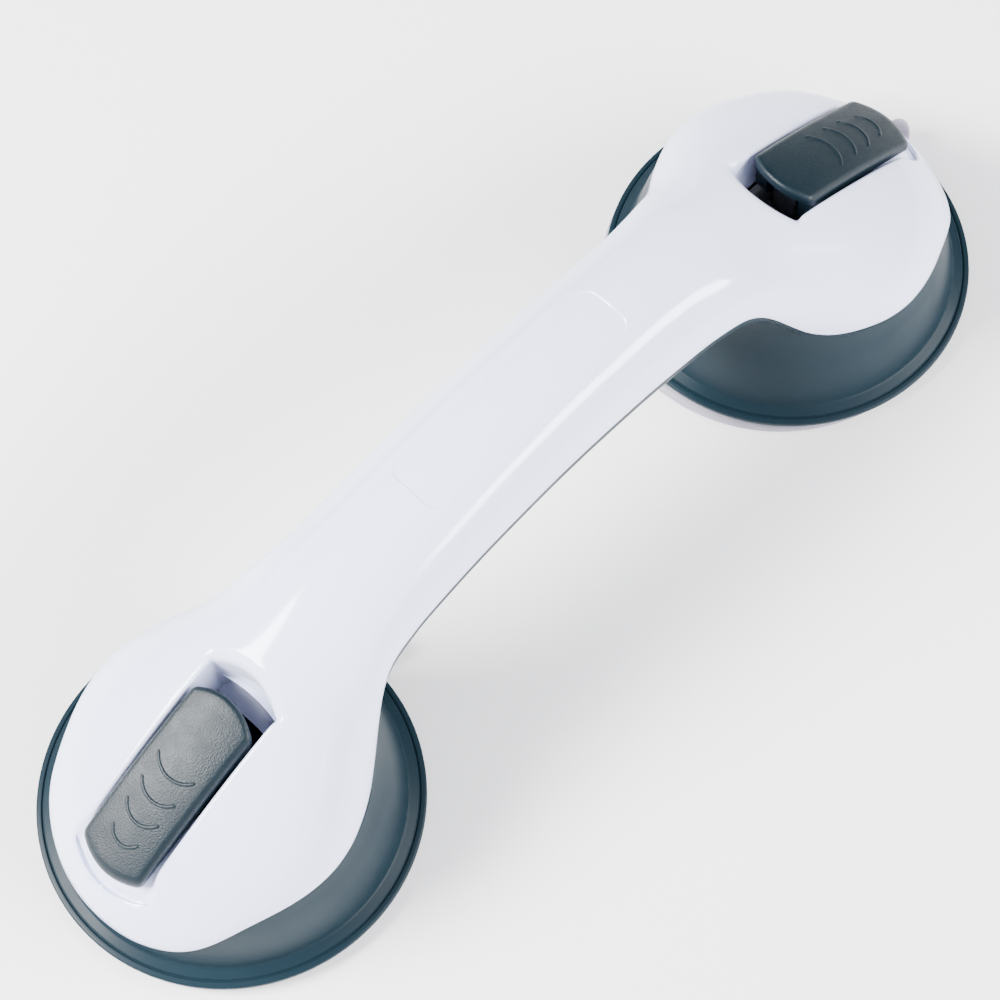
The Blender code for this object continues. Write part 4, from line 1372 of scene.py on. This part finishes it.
class NodeGroups:
    """The geometry node groups, each made once."""

    def __init__(self) -> None:
        """Builds the groups."""
        self.sweep = self.make_sweep()
        self.coil = self.make_coil()
        self.scatter = self.make_scatter()

    @staticmethod
    def start(name: str, sockets: dict[str, str]) -> tuple[bpy.types.NodeTree, bpy.types.Node]:
        """Starts a group with named inputs and one geometry output."""
        tree = bpy.data.node_groups.new(name, "GeometryNodeTree")
        for label, kind in sockets.items():
            tree.interface.new_socket(label, in_out="INPUT", socket_type=kind)
        tree.interface.new_socket("Geometry", in_out="OUTPUT", socket_type="NodeSocketGeometry")
        return tree, add_node(tree, "NodeGroupInput")

    @staticmethod
    def end(tree: bpy.types.NodeTree, geometry: bpy.types.NodeSocket, material: bpy.types.NodeSocket) -> None:
        """Ends a group in Realize Instances, Set Shade Smooth and Set Material."""
        real = add_node(tree, "GeometryNodeRealizeInstances", {"Geometry": geometry}).outputs[0]
        smooth = add_node(tree, "GeometryNodeSetShadeSmooth", {"Geometry": real}).outputs[0]
        dressed = add_node(tree, "GeometryNodeSetMaterial", {"Geometry": smooth, "Material": material})
        add_node(tree, "NodeGroupOutput", {"Geometry": dressed.outputs[0]})

    def make_sweep(self) -> bpy.types.NodeTree:
        """A round bead swept along the edges of a mesh, thinning out at its ends."""
        tree, given = self.start("bead_along_line", {"Geometry": "NodeSocketGeometry",
                                                     "Bead radius": "NodeSocketFloat",
                                                     "Material": "NodeSocketMaterial"})
        line = add_node(tree, "GeometryNodeMeshToCurve", {"Mesh": given.outputs["Geometry"]}).outputs[0]
        share = add_node(tree, "GeometryNodeSplineParameter").outputs["Factor"]
        from_end = add_node(tree, "ShaderNodeMath", {0: share, 1: 0.5}, operation="SUBTRACT").outputs[0]
        from_end = add_node(tree, "ShaderNodeMath", {0: from_end}, operation="ABSOLUTE").outputs[0]
        fade = add_node(tree, "ShaderNodeMapRange", {"Value": from_end, "From Min": 0.47, "From Max": 0.5,
                                                     "To Min": 1.0, "To Max": 0.7}).outputs[0]
        line = add_node(tree, "GeometryNodeSetCurveRadius", {"Curve": line, "Radius": fade}).outputs[0]
        circle = add_node(tree, "GeometryNodeCurvePrimitiveCircle", {"Resolution": 12,
                                                                     "Radius": given.outputs["Bead radius"]})
        bead = add_node(tree, "GeometryNodeCurveToMesh", {"Curve": line, "Profile Curve": circle.outputs[0],
                                                          "Scale": fade, "Fill Caps": True}).outputs[0]
        self.end(tree, bead, given.outputs["Material"])
        return tree

    def make_coil(self) -> bpy.types.NodeTree:
        """A wire coil: a helix with a round section."""
        tree, given = self.start("wire_coil", {"Geometry": "NodeSocketGeometry", "Turns": "NodeSocketFloat",
                                               "Coil radius": "NodeSocketFloat", "Height": "NodeSocketFloat",
                                               "Wire radius": "NodeSocketFloat", "Centre": "NodeSocketVector",
                                               "Material": "NodeSocketMaterial"})
        helix = add_node(tree, "GeometryNodeCurveSpiral", {
            "Resolution": 40, "Rotations": given.outputs["Turns"],
            "Start Radius": given.outputs["Coil radius"], "End Radius": given.outputs["Coil radius"],
            "Height": given.outputs["Height"]}).outputs[0]
        circle = add_node(tree, "GeometryNodeCurvePrimitiveCircle", {"Resolution": 14,
                                                                     "Radius": given.outputs["Wire radius"]})
        wire = add_node(tree, "GeometryNodeCurveToMesh", {"Curve": helix, "Profile Curve": circle.outputs[0],
                                                          "Fill Caps": True}).outputs[0]
        placed = add_node(tree, "GeometryNodeTransform", {"Geometry": wire,
                                                          "Translation": given.outputs["Centre"]}).outputs[0]
        self.end(tree, placed, given.outputs["Material"])
        return tree

    def make_scatter(self) -> bpy.types.NodeTree:
        """One copy of a fastener on every point."""
        tree, given = self.start("fastener_on_points", {"Geometry": "NodeSocketGeometry",
                                                        "Fastener": "NodeSocketObject",
                                                        "Material": "NodeSocketMaterial"})
        fastener = add_node(tree, "GeometryNodeObjectInfo", {"Object": given.outputs["Fastener"]})
        copies = add_node(tree, "GeometryNodeInstanceOnPoints", {
            "Points": given.outputs["Geometry"], "Instance": fastener.outputs["Geometry"]}).outputs[0]
        self.end(tree, copies, given.outputs["Material"])
        return tree


@dataclass
class PivotPin:
    """The steel pin through a lever and its plunger. In millimetres."""

    radius: float = 2.0
    half: float = 9.3
    chamfer: float = 0.35

    def build(self, cup: Cup, finish: bpy.types.Material) -> bpy.types.Object:
        """Builds the pin across the bar."""
        r, h, c = (v * MM for v in (self.radius, self.half, self.chamfer))
        profile = [(0, -h), (r - c, -h), (r, -h + c), (r, h - c), (r - c, h), (0, h)]
        pin = turned(f"pivot_pin_steel_{cup.side.letter}", profile, finish, (0.0, 0.0), 40)
        lying = Matrix.Rotation(math.pi / 2, 4, "X")
        pin.data.transform(Matrix.Translation((cup.axis_x, 0, cup.pin_z)) @ lying)
        return pin


@dataclass
class Plunger:
    """The nylon plunger: a disc for the pad, a round stem and a flat-sided eye. In millimetres."""

    disc: tuple[float, float, float] = (12.9, 6.9, 8.9)
    stem: float = 5.3
    eye: float = 4.1
    flats: float = 4.8
    neck_below_pin: float = 9.5

    def build(self, cup: Cup, finish: bpy.types.Material) -> bpy.types.Object:
        """Builds the plunger."""
        radius, low, high = (v * MM for v in self.disc)
        neck = cup.pin_z - self.neck_below_pin * MM
        stem = self.stem * MM
        profile = rounded_profile([(0, low, 0), (radius, low, 0.4 * MM), (radius, high, 0.4 * MM),
                                   (stem, high, 1.2 * MM), (stem, neck, 0.3 * MM), (0, neck, 0)])
        plunger = turned(f"plunger_nylon_{cup.side.letter}", profile, finish, (cup.axis_x, 0.0))
        eye = self.eye * MM
        outline = [(cup.axis_x - eye, neck - 2 * MM), (cup.axis_x + eye, neck - 2 * MM)]
        outline += [(cup.axis_x + eye * math.cos(t), cup.pin_z + eye * math.sin(t))
                    for t in math.pi * unit_steps(24)]
        flats = self.flats * MM
        head = prism("eye", outline, -flats, flats, finish, across=True)
        trim = turned("trim", [(0, 0), (stem, 0), (stem, 0.1), (0, 0.1)], finish, (cup.axis_x, 0.0))
        combine(head, trim, "INTERSECT")
        combine(plunger, head, "UNION")
        bore_across(plunger, cup)
        smooth_below(plunger, 35)
        return plunger


@dataclass
class WearPlate:
    """The steel plate under the cams. In millimetres."""

    heights: tuple[float, float] = (35.0, 36.0)

    def build(self, cup: Cup, finish: bpy.types.Material) -> bpy.types.Object:
        """Builds the plate."""
        low, high = (v * MM for v in self.heights)
        plate = prism(f"wear_plate_steel_{cup.side.letter}", tower_plan(cup, 5), low, high, finish)
        bore = PLUNGER_BORE * MM
        profile = [(0, 0.03), (bore, 0.03), (bore, 0.04), (0, 0.04)]
        combine(plate, turned("bore", profile, finish, (cup.axis_x, 0.0), 64), "DIFFERENCE")
        return plate


# ---------------------------------------------------------------- soft parts, springs and screws


@dataclass
class SuctionPad:
    """The soft pad: a thin rim, a dome drawn up in the middle, a boss and a release tab. In millimetres."""

    radius: float = 46.8
    stem_gap: float = 5.6
    disc: tuple[float, float, float] = (13.2, 6.6, 9.2)
    boss: tuple[float, float] = (15.5, 11.0)
    tab_half: float = 4.0
    tab_reach: float = 55.2
    tab_thick: float = 1.7
    tab_lift: float = 7.0
    tab_turn: float = 3.5
    tab_root: float = 44.0
    tab_bend: tuple[float, float] = (46.5, 9.0)
    creep: tuple[float, float] = (22.0, 20.0)
    rings: Sequence[float] = (26.0, 31.0, 36.0)
    ring_size: tuple[float, float] = (0.35, 0.55)

    def profile(self) -> list[tuple[float, float]]:
        """Half section of the pad."""
        under = SmoothLine(
            [(0, 5.0), (12, 4.85), (20, 4.0), (28, 2.2), (34, 0.75), (39, 0.02), (47, 0.0)], 2.0)
        over = SmoothLine(
            [(0, 8.6), (16, 8.5), (20, 7.1), (28, 5.2), (34, 3.7), (38.5, 2.8), (43, 2.3), (47.5, 1.3)], 2.0)
        rim = self.radius
        outs = np.concatenate([np.linspace(0, 38, 39), np.linspace(39, rim - 0.6, 10)])
        ring_high, ring_wide = self.ring_size
        section = []
        for r in outs:
            lip = sum(ring_high * math.exp(-((r - ring) / ring_wide) ** 2) for ring in self.rings)
            section.append((r, max(0.0, float(under(r * MM)) / MM - lip)))
        section += [(rim - 0.25, 0.1), (rim, 0.45), (rim - 0.1, 0.95), (rim - 0.6, 1.35)]
        section += [(r, float(over(r * MM)) / MM) for r in np.linspace(rim - 1.4, 17.5, 40)]
        boss_r, boss_z = self.boss
        disc_r, disc_low, disc_high = self.disc
        section += [(16.3, 8.9), (boss_r, 9.6), (boss_r, boss_z - 0.4), (boss_r - 0.4, boss_z),
                    (self.stem_gap + 0.3, boss_z), (self.stem_gap, boss_z - 0.3), (self.stem_gap, disc_high),
                    (disc_r, disc_high), (disc_r, disc_low), (0, disc_low)]
        return [(r * MM, z * MM) for r, z in section]

    def build(self, cup: Cup, finish: bpy.types.Material, drift: tuple[float, float]) -> bpy.types.Object:
        """Builds the pad.

        Args:
            cup: the cup that it belongs to.
            finish: its material.
            drift: how far its floppy rim has crept in plan, in millimetres.

        Returns:
            The finished object.
        """
        centre = (cup.axis_x, 0.0)
        pad = turned(f"soft_pad_{cup.side.letter}", self.profile(), finish, centre, 144)
        half, reach, thick = self.tab_half, self.tab_reach, self.tab_thick
        outline = [(self.tab_root, -half), (reach - half, -half)]
        outline += [(reach - half + half * math.sin(t), -half * math.cos(t))
                    for t in math.pi * unit_steps(16)[1:-1]]
        outline += [(reach - half, half), (self.tab_root, half)]
        tab = prism("tab", [(a * MM, b * MM) for a, b in outline], 0.15 * MM, thick * MM, finish)
        bevel = tab.modifiers.new("round", "BEVEL")
        bevel.width = 0.5 * MM
        bevel.segments = 3
        cuts = tab.modifiers.new("fine", "SUBSURF")
        cuts.subdivision_type = "SIMPLE"
        cuts.levels = cuts.render_levels = 2
        settle_mesh(tab)
        turn = Matrix.Rotation(math.radians(self.tab_turn), 4, "Z")
        for v in tab.data.vertices:
            past = max(0.0, v.co.x / MM - self.tab_bend[0]) / self.tab_bend[1]
            v.co.z += self.tab_lift * past ** 1.4 * MM
        tab.data.transform(Matrix.Translation((cup.axis_x, 0, 0)) @ turn)
        combine(pad, tab, "UNION")
        for v in pad.data.vertices:
            out = math.hypot(v.co.x - centre[0], v.co.y) / MM
            share = min(1.0, max(0.0, (out - self.creep[0]) / self.creep[1]))
            v.co.x += drift[0] * share * MM
            v.co.y += drift[1] * share * MM
        smooth_below(pad, 50)
        return pad


@dataclass
class ReturnSpring:
    """The spring between a deck and its pad. In millimetres."""

    radius: float = 9.2
    wire: float = 0.65
    turns: float = 3.5
    heights: tuple[float, float] = (11.3, 19.5)

    def build(self, cup: Cup, finish: bpy.types.Material, coil: bpy.types.NodeTree) -> bpy.types.Object:
        """Builds the spring with the coil group."""
        spring = piece_from(f"return_spring_wire_{cup.side.letter}", bmesh.new(), finish)
        low, high = (v * MM for v in self.heights)
        wire = self.wire * MM
        run_nodes(spring, coil, {"Turns": self.turns, "Coil radius": self.radius * MM, "Wire radius": wire,
                                 "Height": high - low - 2 * wire, "Centre": (cup.axis_x, 0, low + wire),
                                 "Material": finish})
        return spring


@dataclass
class ShellScrews:
    """The pan-head screws that hold the shells together, driven up from below. In millimetres."""

    head: tuple[float, float] = (2.8, 2.0)
    core: float = 1.15
    thread: float = 1.5
    pitch: float = 1.1
    length: float = 10.0
    gap: float = 0.3
    recess: tuple[float, float, float] = (1.6, 0.32, 0.9)

    def fastener(self, finish: bpy.types.Material) -> bpy.types.Object:
        """Makes one screw, its head's seat at the origin, with a cross recess and a thread."""
        radius, high = self.head
        profile = rounded_profile([(0, -high, 0), (radius * 0.8, -high, 0.7), (radius, -0.7, 0.3),
                                   (radius, 0, 0.15), (self.core, 0, 0)], 5)
        turns = int((self.length - 2.5) / self.pitch)
        for k in range(turns):
            base = 0.5 + k * self.pitch
            profile += [(self.core, base), (self.thread, base + self.pitch * 0.45),
                        (self.core, base + self.pitch * 0.9)]
        profile += [(self.core, self.length - 2.0), (0.1, self.length), (0, self.length)]
        screw = turned("screw", [(r * MM, z * MM) for r, z in profile], finish, (0.0, 0.0), 32)
        long, thin, deep = self.recess
        for turn in (0, math.pi / 2):
            arm = [(-long, -thin), (long, -thin), (long, thin), (-long, thin)]
            spun = [(a * math.cos(turn) - b * math.sin(turn), a * math.sin(turn) + b * math.cos(turn))
                    for a, b in arm]
            cutter = prism("recess", [(a * MM, b * MM) for a, b in spun], -3 * MM, (deep - high) * MM, finish)
            combine(screw, cutter, "DIFFERENCE")
        return screw

    def build(self, seats: Sequence[tuple[float, float, float]], finish: bpy.types.Material,
              scatter: bpy.types.NodeTree) -> bpy.types.Object:
        """Builds all the screws.

        Args:
            seats: for each, the point under its head.
            finish: their material.
            scatter: the node group that copies a fastener.

        Returns:
            One object with all of them.
        """
        bm = bmesh.new()
        for x, y, z in seats:
            bm.verts.new((x, y, z - self.gap * MM))
        screws = piece_from("shell_screws_steel", bm, finish)
        fastener = self.fastener(finish)
        run_nodes(screws, scatter, {"Fastener": fastener, "Material": finish})
        bpy.data.objects.remove(fastener)
        return screws


# ---------------------------------------------------------------- studio


@dataclass
class Studio:
    """A pale floor, soft lights and the camera."""

    middle: float
    azimuth: float = -41.679
    elevation: float = 65.499
    roll: float = -4.776
    distance: float = 730.31
    lens: float = 103.105
    shift: tuple[float, float] = (5.025, -5.176)
    flange_z: float = 3.3
    sky: tuple[float, float] = (1.3, 0.12)
    dark_side: tuple[float, float, float] = (0.75, 0.6, 0.28)
    fade: tuple[float, float] = (0.2, 0.8)
    paper: str = "#f6f6f7"
    sky_colour: str = "#f2f4ff"
    lights: Sequence[tuple[str, tuple[float, float, float], tuple[float, float], float]] = (
        ("key", (-0.88, 0.64, 0.95), (0.7, 0.5), 88),
        ("streak", (0.5, -0.95, 0.75), (1.2, 0.22), 44),
        ("rim", (0.1, 1.3, 0.5), (1.2, 0.3), 4))

    def add_camera(self) -> None:
        """Adds the camera, which looks down on the bar from its near end."""
        turn, rise, roll = (math.radians(v) for v in (self.azimuth, self.elevation, self.roll))
        back = Vector((math.sin(turn) * math.cos(rise), -math.cos(turn) * math.cos(rise), math.sin(rise)))
        right = (-back).cross(Vector((0, 0, 1))).normalized()
        up = right.cross(-back)
        across = right * math.cos(roll) + up * math.sin(roll)
        upward = up * math.cos(roll) - right * math.sin(roll)
        place = back * self.distance - across * self.shift[0] - upward * self.shift[1]
        data = bpy.data.cameras.new("camera")
        data.lens = self.lens
        data.sensor_width = 36.0
        data.clip_start = 0.01
        camera = bpy.data.objects.new("camera", data)
        turned_to = Matrix((across, upward, back)).transposed().to_4x4()
        seat = place * MM + Vector((self.middle, 0, self.flange_z * MM))
        camera.matrix_world = Matrix.Translation(seat) @ turned_to
        bpy.context.scene.collection.objects.link(camera)
        bpy.context.scene.camera = camera

    def add_light(self, name: str, place: tuple[float, float, float], size: tuple[float, float],
                  power: float) -> None:
        """Adds a soft box that faces the middle of the bar.

        Args:
            name: the light's name.
            place: where it hangs, in metres.
            size: its width and height.
            power: its power in watts.
        """
        data = bpy.data.lights.new(name, "AREA")
        data.shape = "RECTANGLE"
        data.size, data.size_y = size
        data.energy = power
        lamp = bpy.data.objects.new(name, data)
        lamp.location = place
        lamp.rotation_euler = (Vector((0, 0, 0.03)) - Vector(place)).to_track_quat("-Z", "Y").to_euler()
        bpy.context.scene.collection.objects.link(lamp)

    def build(self) -> None:
        """Builds the studio."""
        self.add_camera()
        bm = bmesh.new()
        bmesh.ops.create_grid(bm, x_segments=1, y_segments=1, size=3.0)
        paper = bpy.data.materials.new("matt_white_paper")
        paper.use_nodes = True
        shader = paper.node_tree.nodes["Principled BSDF"]
        shader.inputs["Base Color"].default_value = linear(self.paper)
        shader.inputs["Roughness"].default_value = 0.9
        floor = piece_from("floor", bm, paper)
        world = bpy.data.worlds.new("studio")
        world.use_nodes = True
        sky = world.node_tree.nodes["Background"]
        sky.inputs["Color"].default_value = linear(self.sky_colour)
        towards = add_node(world.node_tree, "ShaderNodeTexCoord").outputs["Generated"]
        behind = add_node(world.node_tree, "ShaderNodeVectorMath", {0: towards, 1: self.dark_side},
                          operation="DOT_PRODUCT").outputs["Value"]
        shade = add_node(world.node_tree, "ShaderNodeMapRange",
                         {"Value": behind, "From Min": self.fade[0], "From Max": self.fade[1],
                          "To Min": self.sky[0], "To Max": self.sky[1]})
        world.node_tree.links.new(shade.outputs[0], sky.inputs["Strength"])
        bpy.context.scene.world = world
        for light in self.lights:
            self.add_light(*light)


# ---------------------------------------------------------------- the whole bar


def main() -> None:
    """Builds every piece and hands it to the frame."""
    logging.basicConfig(level=logging.INFO, format="%(name)s: %(message)s")
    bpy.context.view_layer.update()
    cups = cups_of(frame["joints"])
    middle = sum(cup.axis_x for cup in cups) / 2
    arch = Arch(cup=abs(cups[0].axis_x - middle), middle=middle)
    finishes = Finishes()
    groups = NodeGroups()
    Studio(middle).build()

    hand_over(UpperShell(arch).build(finishes["white"]), "upper_shell", "bar")
    lower = LowerShell(arch)
    hand_over(lower.build(cups, finishes["teal"]), "lower_shell", "bar")
    lever = FlipLever()
    drifts = {Side.A: (0.0, 0.0), Side.B: (-2.7, 1.0)}
    seats = []
    for cup in cups:
        hand_over(lever.build(cup, finishes["spark"]), cup.node("lever"),
                  cup.node("lever"))
        marks = LeverMarks(lever).build(cup, finishes["spark"], groups.sweep)
        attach(marks, cup.node("lever"))
        hand_over(PivotPin().build(cup, finishes["steel"]), cup.node("pivot_pin"),
                  cup.node("plunger"))
        # The plunger gets the near-black nylon, which is painted shade for the cavity under the lever.
        hand_over(Plunger().build(cup, finishes["nylon"]), cup.node("plunger"),
                  cup.node("plunger"))
        hand_over(WearPlate().build(cup, finishes["steel"]), cup.node("wear_plate"), "bar")
        pad = SuctionPad().build(cup, finishes["pvc"], drifts[cup.side])
        cup.node("plunger")
        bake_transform(pad)
        hand_over(pad, cup.node("suction_pad"), None)
        spring = ReturnSpring().build(cup, finishes["steel"], groups.coil)
        cup.node("plunger")
        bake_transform(spring)
        hand_over(spring, cup.node("return_spring"), None)
        deck_under = (lower.deck_top - lower.deck_thick) * MM
        foot = float(arch.under_z(lower.handle_screw_x * MM))
        seats += [(cup.axis_x, lower.cup_screw_y * MM, deck_under),
                  (cup.axis_x, -lower.cup_screw_y * MM, deck_under),
                  (middle + cup.side.value * lower.handle_screw_x * MM, 0.0,
                   foot + (lower.boss_height - lower.screw_seat) * MM)]
    screws = ShellScrews().build(seats, finishes["steel"], groups.scatter)
    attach(screws, "bar")
    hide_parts(*(name for name in frame["nodes"] if name.startswith("shell_screw")))


if __name__ == "__main__":
    main()
